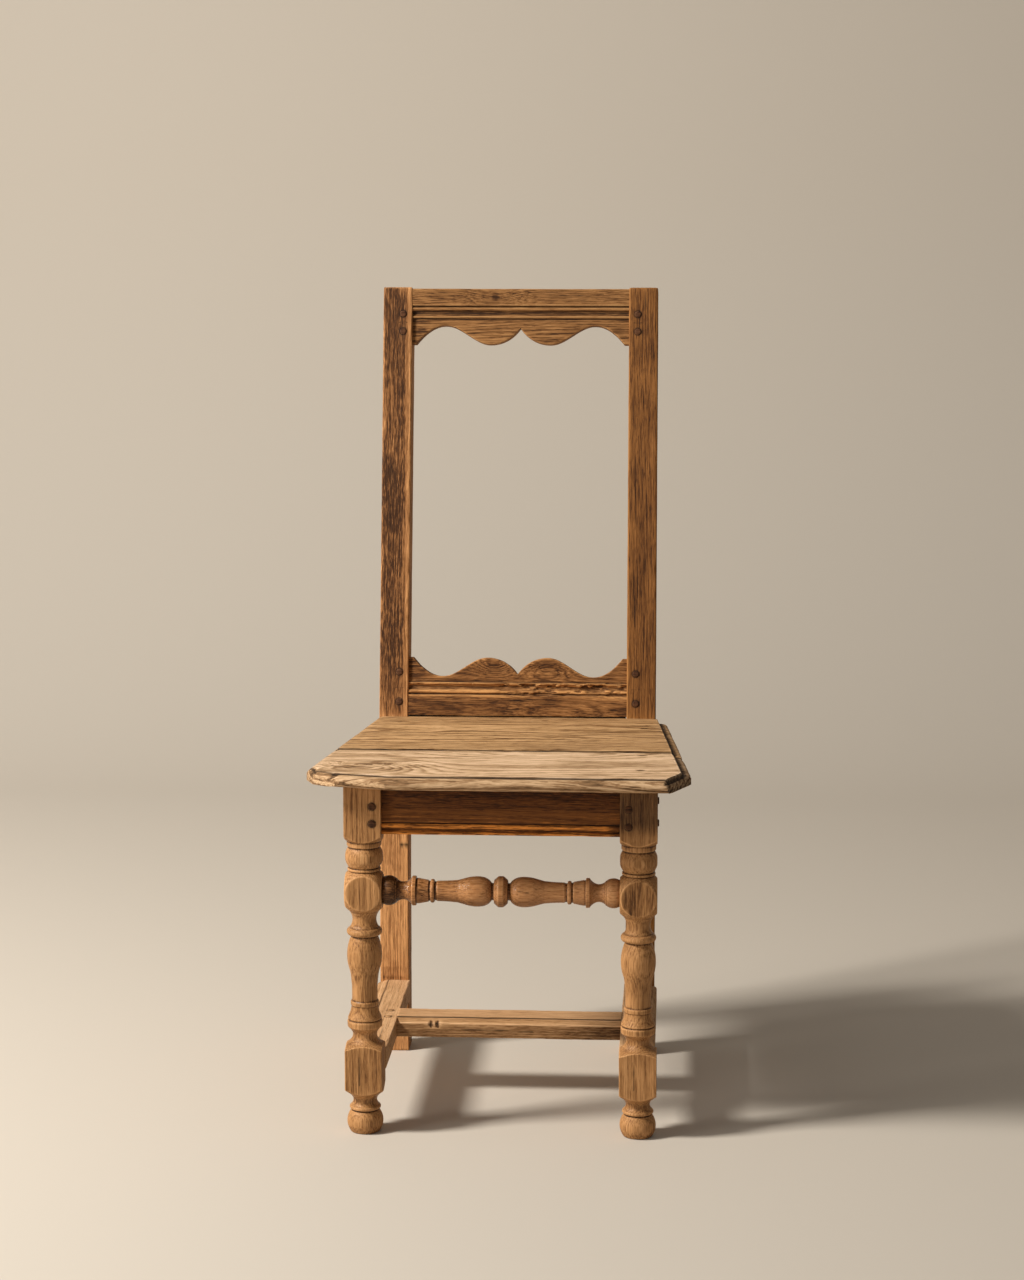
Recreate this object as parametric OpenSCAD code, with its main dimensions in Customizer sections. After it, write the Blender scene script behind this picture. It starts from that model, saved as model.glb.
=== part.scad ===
// Joined oak side chair: turned front legs, raked back posts, two scalloped back rails,
// pegged mortise and tenon joints, and a seat of two boards nailed down on the seat rails.
// Millimetres, with +X to the right as seen from in front, +Y to the back and +Z up.

/* [Overall] */
// Height of the seat's top above the floor
seat_h = 450; // [370:1:545]
// Height of the back posts above the floor
back_h = 1010; // [840:1:1220]
// Distance between the axes of the two front legs
leg_span = 330; // [270:1:400]
// Distance from the front leg axes back to the front face of the posts
seat_run = 330; // [270:1:400]
// Lean of the back above the seat, in degrees
rake = 8.4; // [4:0.1:12]

/* [Front legs] */
// Side of the square stock that a leg is turned from
leg_stock = 45; // [37:0.5:54]
// Height of the square block at the top, down to its corners
top_block_h = 66; // [62:0.5:80]
// Height that a block's turned shoulder takes up
shoulder_h = 9.3; // [4:0.1:12]
// How far the round faces on the block of the front stretcher stay inside its edges
joint_face_in = 1.5; // [0.5:0.1:4]
// Height of the low block between its shoulders' edges
low_block_h = 60; // [50:1:72]
// How far the ball under the top block swells past the faces of the stock, which leaves
// an oval flat on each side of it
ball_out = 0.75; // [0.1:0.05:1.5]
// How deep the ring above the baluster is turned below the faces of the stock
ring_in = 1; // [0.2:0.1:4]
// How deep the baluster's widest part is turned below those faces
baluster_in = 1.25; // [0.2:0.05:4]
// Diameter of the baluster's stem
stem_d = 31; // [24:0.5:34]
// How deep the rim of the bell is turned below those faces
bell_in = 1.25; // [0.2:0.05:4]
// Diameter of the necks between blocks and rings
neck_d = 29; // [22:0.5:34]
// How deep the bun foot is turned below those faces
foot_in = 0.5; // [0.2:0.1:4]
// Height of the bun foot
foot_h = 28; // [22:0.5:32]

/* [Back posts] */
// Width of a post from side to side
post_w = 38.5; // [32:0.5:47]
// Depth of a post from front to back
post_d = 40.7; // [34:0.5:50]
// How far the middle of a post stands inside the middle of its front leg
post_inset = 2.75; // [0:0.25:5]

/* [Back rails] */
// Thickness of the crest rail and the lower back rail
back_rail_t = 22; // [18:0.5:27]
// How far a back rail's face lies behind the face of the posts
back_rail_setback = 1; // [0.5:0.1:4]
// Height of the crest rail
crest_h = 73.8; // [66:0.5:90]
// How far the crest rail's top lies below the tops of the posts
crest_drop = 2; // [1:0.5:6]
// Height of the plain band along the top of the crest rail
crest_band_h = 23.3; // [18:0.5:27]
// Height of the lower back rail
lower_h = 76.8; // [68:0.5:92]
// Gap between the seat and the lower back rail
lower_gap = 1; // [1:0.5:6]
// Height of the plain band along the bottom of the lower back rail
lower_band_h = 28; // [22:0.5:30]
// Height of the moulding beside each plain band
moulding_h = 16.5; // [13:0.5:20]
// Depth of the moulding's quirks and of the field behind the band
moulding_d = 2.4; // [1:0.1:4]
// Height of the arches of the scalloped edges
scallop_h = 24.8; // [16:0.5:26]
// Height of the cusp between the two middle lobes
cusp_h = 21.5; // [12:0.5:24]
// Distance of each middle lobe from the middle of the rail
lobe_x = 39.5; // [32:0.5:48]
// Distance of each outer arch from the end of the rail
arch_in = 44; // [36:0.5:53]
// Length of the flat at each end of a scalloped edge
scallop_end = 5.5; // [3:0.5:10]

/* [Seat rails] */
// Height of the seat rails
seat_rail_h = 64.5; // [60:0.5:72]
// Thickness of the seat rails
seat_rail_t = 22; // [18:0.5:27]
// How far the front rail's face lies behind the face of the legs
front_rail_setback = 7.5; // [5:0.5:9]
// Height of the bead along the lower edge of the front rail
bead_h = 14.5; // [10:0.5:17]
// How far the middle of a side rail stands outside the middle of its front leg
side_rail_out = 2.5; // [2:0.25:4]
// How far the rear rail's face lies behind the face of the posts
rear_rail_setback = 3; // [2:0.5:6]

/* [Stretchers] */
// Distance from the seat's underside down to the axis of the turned stretcher
front_stretcher_drop = 136; // [128:0.5:150]
// Diameter of the turned stretcher's cups and large rings
stretcher_d = 36; // [30:0.5:38]
// Diameter of the turned stretcher's centre disc
disc_d = 37.5; // [32:0.5:40]
// Diameter of the turned stretcher's narrow necks
stretcher_neck_d = 21.5; // [18:0.5:25]
// Diameter of the round tenons on the turned stretcher
round_tenon_d = 17; // [14:0.5:20]
// Height of the side stretchers' underside above the floor
side_stretcher_z = 70; // [64:0.5:76]
// Thickness of the side stretchers
side_stretcher_t = 26.5; // [22:0.5:31]
// Width of the side stretchers
side_stretcher_w = 44; // [37:0.5:50]
// How far the middle of a side stretcher stands inside the middle of its front leg
side_stretcher_in = 2; // [0:0.25:4]
// How far the middle of the low block lies below the middle of the side stretcher
low_block_drop = 3; // [0:0.5:6]
// Distance from the front leg axes back to the middle of the cross stretcher
cross_y = 172; // [120:1:210]
// Width of the cross stretcher
cross_w = 50; // [42:0.5:60]
// Thickness of the cross stretcher
cross_t = 24; // [20:0.5:26]
// Width of the worn chamfer along the stretchers' top edges
chamfer_w = 13; // [6:0.5:16]
// Depth of that chamfer
chamfer_d = 5; // [2:0.5:7]

/* [Seat] */
// Thickness of the seat boards
board_t = 17; // [14:0.5:21]
// How far the seat stands out in front of the legs
nose_over = 55.5; // [40:0.5:66]
// How far the seat stands out beside the right leg, at its front
side_over_right = 40; // [32:0.5:50]
// How far the seat stands out beside the left leg, at its front
side_over_left = 45; // [32:0.5:54]
// How far the seat stands out beside the right post
rear_over_right = 15.5; // [6:0.5:20]
// How far the seat stands out beside the left post
rear_over_left = 5; // [2:0.5:20]
// Distance from the seat's nose back to the seam between the boards
seam_in = 183; // [140:1:220]
// Width of the open seam between the boards
seam_gap = 0.8; // [0.4:0.1:2]
// Width of the moulded edge of the seat
edge_w = 12; // [8:0.5:15]
// Depth of the step beside the field of the seat, along its sides
side_step = 6; // [2:0.5:8]
// Depth of that step along the worn nose
nose_step = 1.8; // [1:0.1:6]

/* [Joints] */
// Thickness of the tenons
tenon_t = 9; // [7:0.5:10]
// Length of the tenons on the back rails
back_tenon_l = 25; // [20:0.5:28]
// Length of the tenons on the seat rails
seat_tenon_l = 16; // [12:0.5:17]
// Length of the tenons on the cross stretcher
cross_tenon_l = 24; // [20:0.5:28]
// Length of the round tenons on the turned stretcher
round_tenon_l = 20; // [14:0.5:24]
// Diameter of the wooden pegs
peg_d = 9; // [7:0.5:10]
// How far a peg stands inside the edge of the joint it pins
peg_in = 12; // [9:0.5:13]
// How far the pegs stand proud of the wood
peg_proud = 0.8; // [0.3:0.1:2]
// Clearance on each side of a tenon, a peg or a nail
fit = 0.15; // [0.08:0.01:0.3]
// Diameter of the nails' shanks
nail_d = 3; // [2:0.5:4]
// Diameter of the nails' heads
nail_head_d = 6.5; // [5:0.5:8]
// Length of the nails
nail_l = 38; // [30:1:45]

/* [Hidden] */
$fn = 64;

oak = [0.55, 0.40, 0.25];
pale_oak = [0.70, 0.55, 0.38];
dark_oak = [0.40, 0.27, 0.16];
peg_oak = [0.27, 0.18, 0.10];
iron = [0.20, 0.18, 0.17];
LEFT = -1;
RIGHT = 1;
past = 5;                       // how far a cut runs past the face that it starts from
mortise_spare = 1;              // empty depth left behind a tenon
tenon_low = 5;                  // shoulder below a tenon
tenon_high = 7;                 // shoulder above a seat rail's tenon

// Places that several pieces share
leg_x = leg_span / 2;
leg_r = leg_stock / 2;
leg_top = seat_h - board_t;
leg_inner_x = leg_x - leg_r;
post_x = leg_x - post_inset;
post_inner_x = post_x - post_w / 2;
post_outer_x = post_x + post_w / 2;
post_t = post_d * cos(rake);                   // post thickness square to its raked face
raked_l = (back_h - seat_h) / cos(rake);       // raked length of a post, from the seat up
side_rail_x = leg_x + side_rail_out;
rail_z = leg_top - seat_rail_h;
front_rail_y = -leg_r + front_rail_setback;
front_tenon_y = front_rail_y + tenon_t;        // middle of the front rail's tenon
rear_rail_y = seat_run + rear_rail_setback;
rear_tenon_y = rear_rail_y + seat_rail_t / 2;
front_stretcher_z = leg_top - front_stretcher_drop;
side_stretcher_x = leg_x - side_stretcher_in;
side_inner_x = side_stretcher_x - side_stretcher_w / 2;
side_mid_z = side_stretcher_z + side_stretcher_t / 2;
side_top_z = side_stretcher_z + side_stretcher_t;
low_block_z = side_mid_z - low_block_drop;
cross_z = side_top_z - cross_t;
crest_z = raked_l - crest_drop - crest_h;      // in the raked frame, from the seat up
lower_z = lower_gap;
seat_tenon_z = rail_z + tenon_low;
seat_tenon_h = seat_rail_h - tenon_low - tenon_high;
seat_peg_z = [rail_z + 14, rail_z + 35];
crest_tenon = [crest_z + tenon_low, crest_z + 52];
crest_peg_z = [crest_z + 17, crest_z + 40];
lower_tenon = [lower_z + 8, lower_z + 68];
lower_peg_z = [lower_z + 18, lower_z + 57];
back_tenon_y = back_rail_setback + back_rail_t / 2;
back_peg_l = post_t - 6;
cross_peg_dy = 14;                             // from the middle of the tenon to each peg
cross_tenon_w = cross_w - 12;
low_tenon_w = 24;                              // of the tenons on the side stretchers
low_tenon_z = side_mid_z - tenon_t / 2;

// The seat's plan
nose_y = -leg_r - nose_over;
seam_y = nose_y + seam_in;
seat_right = leg_x + leg_r + side_over_right;
seat_left = -leg_x - leg_r - side_over_left;
seat_rear_y = seat_run - 2 * fit;
tongue_x = post_inner_x - 1;                   // the rear board's tongue between the posts
tongue_y = rear_rail_y + seat_rail_t - 2;
edge_drop = 9;                                 // from the seat's top down to its outer edge
nose_lift = 6;                                 // how high the nose is rounded underneath

// The middle of the chair's plan, which is moved to the origin
post_back_y = seat_run + post_t * cos(rake) + raked_l * sin(rake);
middle_y = (nose_y + post_back_y) / 2;
middle_x = (seat_left + seat_right) / 2;

// ---------- helpers ----------

// A smooth curve from a to b that is drawn towards c
function bend(a, c, b, n = 5) =
    [for (i = [0:n]) let (t = i / n) (1 - t) * (1 - t) * a + 2 * t * (1 - t) * c + t * t * b];

// A smooth curve from a to b whose middle comes to r from the axis
function swell(a, b, r, n = 8) = bend(a, [2 * r - (a.x + b.x) / 2, (a.y + b.y) / 2], b, n);

// The share t of the way from a to b
function way(a, b, t) = a + (b - a) * t;

module centred() {
    translate([-middle_x, -middle_y, 0]) children();
}

// Everything is drawn for the right side, and the left side is its mirror image
module on_side(side) {
    mirror([side == LEFT ? 1 : 0, 0, 0]) children();
}
module on_both_sides() {
    on_side(RIGHT) children();
    on_side(LEFT) children();
}

// The frame of the raked back: z runs up the face of the posts from the seat
module raked() {
    translate([0, seat_run, seat_h]) rotate([-rake, 0, 0]) children();
}

// A box given by its lowest and highest corners
module block(low, high) {
    translate(low) cube(high - low);
}

// The same box, grown by the fit on every side, for a mortise
module mortise(low, high) {
    block(low - [fit, fit, fit], high + [fit, fit, fit]);
}

// A solid that runs along X, with the section drawn in Y and Z
module along_x(x0, x1) {
    translate([x0, 0, 0]) rotate([90, 0, 90]) linear_extrude(x1 - x0) children();
}

// A solid that runs along Y, with the section drawn in X and Z
module along_y(y0, y1) {
    translate([0, y1, 0]) rotate([90, 0, 0]) linear_extrude(y1 - y0) children();
}

// A round rod from one end along X, Y or Z
module rod_x(x0, x1, y, z, d) {
    translate([x0, y, z]) rotate([0, 90, 0]) cylinder(d = d, h = x1 - x0);
}
module rod_y(x, y0, y1, z, d) {
    translate([x, y0, z]) rotate([-90, 0, 0]) cylinder(d = d, h = y1 - y0);
}
module rod_z(x, y, z0, z1, d) {
    translate([x, y, z0]) cylinder(d = d, h = z1 - z0);
}

// ---------- the pegs, and the holes that fit them ----------
// Each set is drawn for the right side, and each peg starts at the face that it was
// driven from. With spare it becomes its own hole, a little wider and deeper.

module back_peg(z, spare) {
    rod_y(post_inner_x + peg_in, -peg_proud, back_peg_l + 2 * spare, z, peg_d + 2 * spare);
}
module crest_peg_set(spare) {
    raked() for (z = crest_peg_z) back_peg(z, spare);
}
module lower_peg_set(spare) {
    raked() for (z = lower_peg_z) back_peg(z, spare);
}
module front_peg_set(spare) {
    for (z = seat_peg_z)
        rod_y(leg_inner_x + seat_tenon_l - peg_d / 2 - 1, -leg_r - peg_proud,
              front_tenon_y + tenon_t / 2 + 3 + 2 * spare, z, peg_d + 2 * spare);
}

// Pegs that run in from the outer side, through the side rail's tenon
module side_peg(face_x, y, z, spare) {
    rod_x(side_rail_x - tenon_t / 2 - 3 - 2 * spare, face_x + 2 * peg_proud, y, z,
          peg_d + 2 * spare);
}
module side_front_peg_set(spare) {
    for (z = [seat_peg_z[0] - 2, seat_peg_z[1] + 4])
        side_peg(leg_x + leg_r, leg_r - seat_tenon_l / 2 - 1, z, spare);
}
module side_rear_peg_set(spare) {
    for (z = seat_peg_z)
        side_peg(post_outer_x, seat_run + seat_tenon_l / 2, z, spare);
}
module rear_peg_set(spare) {
    for (z = seat_peg_z)
        rod_y(post_inner_x + seat_tenon_l / 2, rear_tenon_y - tenon_t / 2 - 3 - 2 * spare,
              seat_run + post_d + peg_proud, z, peg_d + 2 * spare);
}
module cross_peg_set(spare) {
    for (dy = [-cross_peg_dy, cross_peg_dy])
        rod_z(side_inner_x + peg_in, cross_y + dy, side_stretcher_z + 4 - 2 * spare,
              side_top_z + peg_proud / 2, peg_d - 1 + 2 * spare);
}

// ---------- the nails ----------
// They run down through the seat boards into the front legs and the side rails.

nail_y = [-leg_r + 8, 80, seat_run - 70];
module seat_nail_set(spare) {
    for (y = nail_y) {
        rod_z(side_rail_x, y, seat_h - nail_l - 2 * spare, seat_h - 1.5, nail_d + 2 * spare);
        rod_z(side_rail_x, y, seat_h - 2 - spare, seat_h - 0.4 + 8 * spare, nail_head_d + 2 * spare);
    }
}

// ---------- the front legs ----------

// Profile of the bun foot and the ankle above it, up to the low block
function foot_profile(top) =
    let (r = leg_r - foot_in)
    concat(
        [[0, 0]],
        swell([r - 4.5, 0], [r - 4, foot_h - 2], r),
        [[r - 5.5, foot_h - 1], [r - 5.5, foot_h], [r - 3, foot_h + 1], [r - 3, foot_h + 4]],
        swell([r - 4.5, foot_h + 5], [leg_r - 2, top - 2], neck_d / 2));

// Profile of the bell, the stem, the baluster and the ring, between two blocks
function baluster_profile(low, high) =
    let (bell_r = leg_r - bell_in, stem_r = stem_d / 2, ring_r = leg_r - ring_in, neck_r = neck_d / 2)
    concat(
        swell([leg_r - 2, low], [bell_r - 1.3, way(low, high, 0.117)], neck_r),
        [[bell_r - 0.3, way(low, high, 0.123)], [bell_r, way(low, high, 0.167)],
         [bell_r - 2, way(low, high, 0.176)], [bell_r - 0.6, way(low, high, 0.185)]],
        swell([bell_r - 0.7, way(low, high, 0.19)], [stem_r + 0.7, way(low, high, 0.284)],
              (bell_r + stem_r) / 2 - 0.9, 6),
        [[stem_r + 1.6, way(low, high, 0.287)], [stem_r + 1.6, way(low, high, 0.315)],
         [stem_r, way(low, high, 0.322)], [stem_r, way(low, high, 0.43)],
         [stem_r + 1.5, way(low, high, 0.52)]],
        swell([stem_r + 2.3, way(low, high, 0.545)], [stem_r + 0.4, way(low, high, 0.815)],
              leg_r - baluster_in),
        swell([ring_r - 2, way(low, high, 0.82)], [ring_r - 2, way(low, high, 0.87)], ring_r, 4),
        swell([neck_r + 3, way(low, high, 0.877)], [neck_r + 3, high - 1], neck_r));

// Profile of the ball between the stretcher's block and the top block
function ball_profile(low, high) =
    let (r = leg_r + ball_out)
    concat(
        [[r - 3, low], [r - 3, way(low, high, 0.08)]],
        swell([r - 5, way(low, high, 0.09)], [r - 4, way(low, high, 0.80)], r),
        [[leg_r - 1.5, way(low, high, 0.84)], [leg_r - 1.5, high]]);

// The block of the front stretcher is turned to a ball as well, which leaves a round
// flat on each face
joint_r = norm([leg_r, leg_r - joint_face_in]);
joint_end = sqrt(joint_r * joint_r - pow(leg_r - 4.5, 2));
function joint_profile() =
    [for (i = [-6:6]) let (dz = joint_end * i / 6)
        [sqrt(joint_r * joint_r - dz * dz), front_stretcher_z + dz]];

corner_r = leg_r * sqrt(2) + 0.6;
low_block_bottom = low_block_z - low_block_h / 2;
low_block_top = low_block_z + low_block_h / 2;
top_block_bottom = leg_top - top_block_h - shoulder_h;

function leg_profile() =
    concat(
        foot_profile(low_block_bottom),
        [[corner_r, low_block_bottom + shoulder_h * 0.7], [corner_r, low_block_top - shoulder_h * 0.7]],
        baluster_profile(low_block_top, front_stretcher_z - joint_end),
        joint_profile(),
        ball_profile(front_stretcher_z + joint_end, top_block_bottom),
        [[corner_r, top_block_bottom + shoulder_h], [corner_r, leg_top], [0, leg_top]]);

module leg_mortises() {
    mortise([leg_inner_x - past, front_tenon_y - tenon_t / 2, seat_tenon_z],
            [leg_inner_x + seat_tenon_l + mortise_spare, front_tenon_y + tenon_t / 2,
             seat_tenon_z + seat_tenon_h]);
    mortise([side_rail_x - tenon_t / 2, leg_r - seat_tenon_l - mortise_spare, seat_tenon_z],
            [side_rail_x + tenon_t / 2, leg_r + past, seat_tenon_z + seat_tenon_h]);
    mortise([side_stretcher_x - low_tenon_w / 2, leg_r - seat_tenon_l - mortise_spare, low_tenon_z],
            [side_stretcher_x + low_tenon_w / 2, leg_r + past, low_tenon_z + tenon_t]);
    rod_x(leg_inner_x - past, leg_inner_x + round_tenon_l + mortise_spare, 0, front_stretcher_z,
          round_tenon_d + 2 * fit);
}

module front_leg(side) {
    on_side(side)
        difference() {
            translate([leg_x, 0, 0])
                intersection() {
                    block([-leg_r, -leg_r, 0], [leg_r, leg_r, leg_top]);
                    rotate_extrude() polygon(leg_profile());
                }
            leg_mortises();
            front_peg_set(fit);
            side_front_peg_set(fit);
            seat_nail_set(fit);
        }
}

module front_leg_left() {
    color(pale_oak) centred() front_leg(LEFT);
}
module front_leg_right() {
    color(pale_oak) centred() front_leg(RIGHT);
}

// ---------- the back posts ----------

// Side view of a post: upright below the seat and raked above it
function post_outline() = [
    [seat_run, 0],
    [seat_run + post_d, 0],
    [seat_run + post_d, seat_h],
    [post_back_y, back_h - post_t * sin(rake)],
    [seat_run + raked_l * sin(rake), back_h],
    [seat_run, seat_h]];

module post_mortises() {
    for (tenon = [crest_tenon, lower_tenon])
        raked()
            mortise([post_inner_x - past, back_tenon_y - tenon_t / 2, tenon[0]],
                    [post_inner_x + back_tenon_l + mortise_spare, back_tenon_y + tenon_t / 2, tenon[1]]);
    mortise([post_inner_x - past, rear_tenon_y - tenon_t / 2, seat_tenon_z],
            [post_inner_x + seat_tenon_l + mortise_spare, rear_tenon_y + tenon_t / 2,
             seat_tenon_z + seat_tenon_h]);
    mortise([side_rail_x - tenon_t / 2, seat_run - past, seat_tenon_z],
            [side_rail_x + tenon_t / 2, seat_run + seat_tenon_l + mortise_spare,
             seat_tenon_z + seat_tenon_h]);
    mortise([side_stretcher_x - low_tenon_w / 2, seat_run - past, low_tenon_z],
            [side_stretcher_x + low_tenon_w / 2, seat_run + seat_tenon_l + mortise_spare,
             low_tenon_z + tenon_t]);
}

module rear_post(side) {
    on_side(side)
        difference() {
            along_x(post_inner_x, post_outer_x) polygon(post_outline());
            post_mortises();
            crest_peg_set(fit);
            lower_peg_set(fit);
            side_rear_peg_set(fit);
            rear_peg_set(fit);
        }
}

module rear_post_left() {
    color(dark_oak) centred() rear_post(LEFT);
}
module rear_post_right() {
    color(oak) centred() rear_post(RIGHT);
}

// ---------- the back rails ----------

// Height of the scalloped edge's cut at x: round lobes at 0 that meet in a cusp, and an
// arch on each side that falls away ever faster to the end of the rail
arch_x = post_inner_x - arch_in;
flat_x = post_inner_x - scallop_end;
lobe_r = (lobe_x * lobe_x + cusp_h * cusp_h) / (2 * cusp_h);
function scallop(x) =
    let (d = abs(x))
    d >= flat_x ? 0
    : d > arch_x ? scallop_h * (1 - pow((d - arch_x) / (flat_x - arch_x), 2))
    : d > lobe_x ? scallop_h * (1 - cos(180 * (d - lobe_x) / (arch_x - lobe_x))) / 2
    : lobe_r - sqrt(lobe_r * lobe_r - (lobe_x - d) * (lobe_x - d));

scallop_n = 10;                 // straight steps in each curve of the edge
half_stops = concat(
    [for (i = [0:scallop_n]) way(0, lobe_x, i / scallop_n)],
    [for (i = [1:scallop_n]) way(lobe_x, arch_x, i / scallop_n)],
    [for (i = [1:scallop_n]) way(arch_x, flat_x, i / scallop_n)]);
stops = concat(
    [for (i = [len(half_stops) - 1:-1:1]) -half_stops[i]],
    half_stops);

// What the scalloped edge cuts away, below z = 0
module scallop_cut(y0, y1) {
    along_y(y0, y1)
        polygon(concat(
            [[-flat_x, -past], [-flat_x, 0]],
            [for (x = stops) [x, scallop(x)]],
            [[flat_x, -past]]));
}

// Section of the moulding, from the edge of the band at z = 0 to the field at moulding_h:
// a quirk, a small roll, a hollow and a fillet
function moulding(face) =
    let (h = moulding_h, d = moulding_d)
    concat(
        [[face, 0], [face + d * 0.7, 0], [face + d * 0.7, h * 0.07]],
        swell([face + d * 0.4, h * 0.08], [face + d * 0.4, h * 0.33], face, 4),
        swell([face + d * 0.5, h * 0.34], [face + d * 0.6, h * 0.78], face + d * 1.5, 5),
        [[face + d * 0.4, h * 0.79], [face + d * 0.4, h * 0.97], [face + d * 1.2, h]]);

// A back rail lies with its band at the top, and its scalloped edge at z = 0
module back_rail_body(h, band_h) {
    face = back_rail_setback;
    back = back_rail_setback + back_rail_t;
    edge = h - band_h;
    difference() {
        along_x(-post_inner_x, post_inner_x)
            polygon(concat(
                [[back, 0], [back, h], [face, h]],
                [for (p = moulding(face)) [p.x, edge - p.y]],
                [[face + moulding_d * 1.2, 0]]));
        scallop_cut(face - past, back + past);
    }
}

module back_tenons(span) {
    on_both_sides()
        block([post_inner_x - scallop_end / 2, back_tenon_y - tenon_t / 2, span[0]],
              [post_inner_x + back_tenon_l, back_tenon_y + tenon_t / 2, span[1]]);
}

module crest_rail() {
    color(oak) centred()
        difference() {
            raked() {
                translate([0, 0, crest_z]) back_rail_body(crest_h, crest_band_h);
                back_tenons(crest_tenon);
            }
            on_both_sides() crest_peg_set(fit);
        }
}

// The underside is planed level, so that the leaning rail clears the seat all the way back
module lower_back_rail() {
    color(oak) centred()
        difference() {
            raked() {
                translate([0, 0, lower_z + lower_h])
                    mirror([0, 0, 1]) back_rail_body(lower_h, lower_band_h);
                back_tenons(lower_tenon);
            }
            block([-post_inner_x - fit, seat_run - past, seat_h - past],
                  [post_inner_x + fit, seat_run + post_d, seat_h + lower_gap]);
            on_both_sides() lower_peg_set(fit);
        }
}

// ---------- the seat rails ----------

// Section of the front rail, with the bead along its lower edge
function front_rail_section() =
    let (f = front_rail_y, z = rail_z, h = bead_h)
    concat(
        [[f + seat_rail_t, leg_top], [f, leg_top], [f, z + h], [f + 2.2, z + h], [f + 2.2, z + h * 0.94]],
        swell([f + 1.6, z + h * 0.93], [f + 1.8, z + h * 0.52], f, 5),
        swell([f + 2.2, z + h * 0.5], [f + 1.4, z + h * 0.24], f + 3.2, 4),
        [[f + 0.3, z + h * 0.22], [f + 0.3, z], [f + seat_rail_t, z]]);

module front_seat_rail() {
    color(dark_oak) centred()
        difference() {
            union() {
                along_x(-leg_inner_x, leg_inner_x) polygon(front_rail_section());
                block([-leg_inner_x - seat_tenon_l, front_tenon_y - tenon_t / 2, seat_tenon_z],
                      [leg_inner_x + seat_tenon_l, front_tenon_y + tenon_t / 2,
                       seat_tenon_z + seat_tenon_h]);
            }
            on_both_sides() front_peg_set(fit);
        }
}

module side_seat_rail(side) {
    x = side_rail_x;
    on_side(side)
        difference() {
            union() {
                block([x - seat_rail_t / 2, leg_r, rail_z], [x + seat_rail_t / 2, seat_run, leg_top]);
                block([x - tenon_t / 2, leg_r - seat_tenon_l, seat_tenon_z],
                      [x + tenon_t / 2, seat_run + seat_tenon_l, seat_tenon_z + seat_tenon_h]);
            }
            side_front_peg_set(fit);
            side_rear_peg_set(fit);
            seat_nail_set(fit);
        }
}

module side_seat_rail_left() {
    color(dark_oak) centred() side_seat_rail(LEFT);
}
module side_seat_rail_right() {
    color(dark_oak) centred() side_seat_rail(RIGHT);
}

module rear_seat_rail() {
    color(dark_oak) centred()
        difference() {
            union() {
                block([-post_inner_x, rear_rail_y, rail_z],
                      [post_inner_x, rear_rail_y + seat_rail_t, leg_top]);
                block([-post_inner_x - seat_tenon_l, rear_tenon_y - tenon_t / 2, seat_tenon_z],
                      [post_inner_x + seat_tenon_l, rear_tenon_y + tenon_t / 2,
                       seat_tenon_z + seat_tenon_h]);
            }
            on_both_sides() rear_peg_set(fit);
        }
}

// ---------- the stretchers ----------

// Half of the turned stretcher's profile, as radius and distance from the block's face:
// cup, neck, large ring, cone, small ring, baluster and half of the centre disc
function stretcher_half() =
    let (r = stretcher_d / 2, n = stretcher_neck_d / 2, l = leg_inner_x,
         b0 = 66, b1 = l - 11.5)
    concat(
        [[r - 2, 0]],
        swell([r - 1.5, 1], [r - 2, 15], r, 5),
        [[r - 3, 15.5], [r - 3, 17]],
        swell([r - 4.5, 17.5], [r - 2.5, 34.5], n, 7),
        [[r, 36], [r, 40.5], [r - 3, 41], [r - 2.5, 43], [n + 2.4, 55.5], [n + 1.2, 56], [n + 1.2, 57.5]],
        swell([n + 2.8, 58], [n + 2.8, 62.5], n + 3.6, 3),
        [[n + 0.6, 63], [n + 0.6, 65], [n + 1.5, b0]],
        bend([n + 1.5, way(b0, b1, 0.18)], [n + 2.8, way(b0, b1, 0.38)], [r - 0.8, way(b0, b1, 0.58)]),
        bend([r - 0.4, way(b0, b1, 0.62)], [r + 2.6, way(b0, b1, 0.90)], [n + 0.7, b1], 7),
        [[n - 0.3, b1 + 0.5], [n - 0.3, l - 8.5], [disc_d / 2 - 4.5, l - 8.5], [disc_d / 2, l - 3]]);

module turned_front_stretcher() {
    half = stretcher_half();
    last = len(half) - 1;
    color(pale_oak) centred()
        translate([-leg_inner_x, 0, front_stretcher_z])
            rotate([0, 90, 0])
                rotate_extrude()
                    polygon(concat(
                        [[0, -round_tenon_l], [round_tenon_d / 2, -round_tenon_l], [round_tenon_d / 2, 0]],
                        half,
                        [for (i = [last:-1:0]) [half[i].x, 2 * leg_inner_x - half[i].y]],
                        [[round_tenon_d / 2, 2 * leg_inner_x],
                         [round_tenon_d / 2, 2 * leg_inner_x + round_tenon_l],
                         [0, 2 * leg_inner_x + round_tenon_l]]));
}

module side_stretcher(side) {
    w = side_stretcher_w / 2;
    on_side(side)
        difference() {
            union() {
                along_y(leg_r, seat_run)
                    translate([side_stretcher_x, side_stretcher_z])
                        polygon([[-w, 0], [w, 0], [w, side_stretcher_t - chamfer_d],
                                 [w - chamfer_w, side_stretcher_t], [-w, side_stretcher_t]]);
                block([side_stretcher_x - low_tenon_w / 2, leg_r - seat_tenon_l, low_tenon_z],
                      [side_stretcher_x + low_tenon_w / 2, seat_run + seat_tenon_l,
                       low_tenon_z + tenon_t]);
            }
            mortise([side_inner_x - past, cross_y - cross_tenon_w / 2, low_tenon_z],
                    [side_inner_x + cross_tenon_l + mortise_spare, cross_y + cross_tenon_w / 2,
                     low_tenon_z + tenon_t]);
            cross_peg_set(fit);
        }
}

module side_stretcher_left() {
    color(pale_oak) centred() side_stretcher(LEFT);
}
module side_stretcher_right() {
    color(pale_oak) centred() side_stretcher(RIGHT);
}

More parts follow.
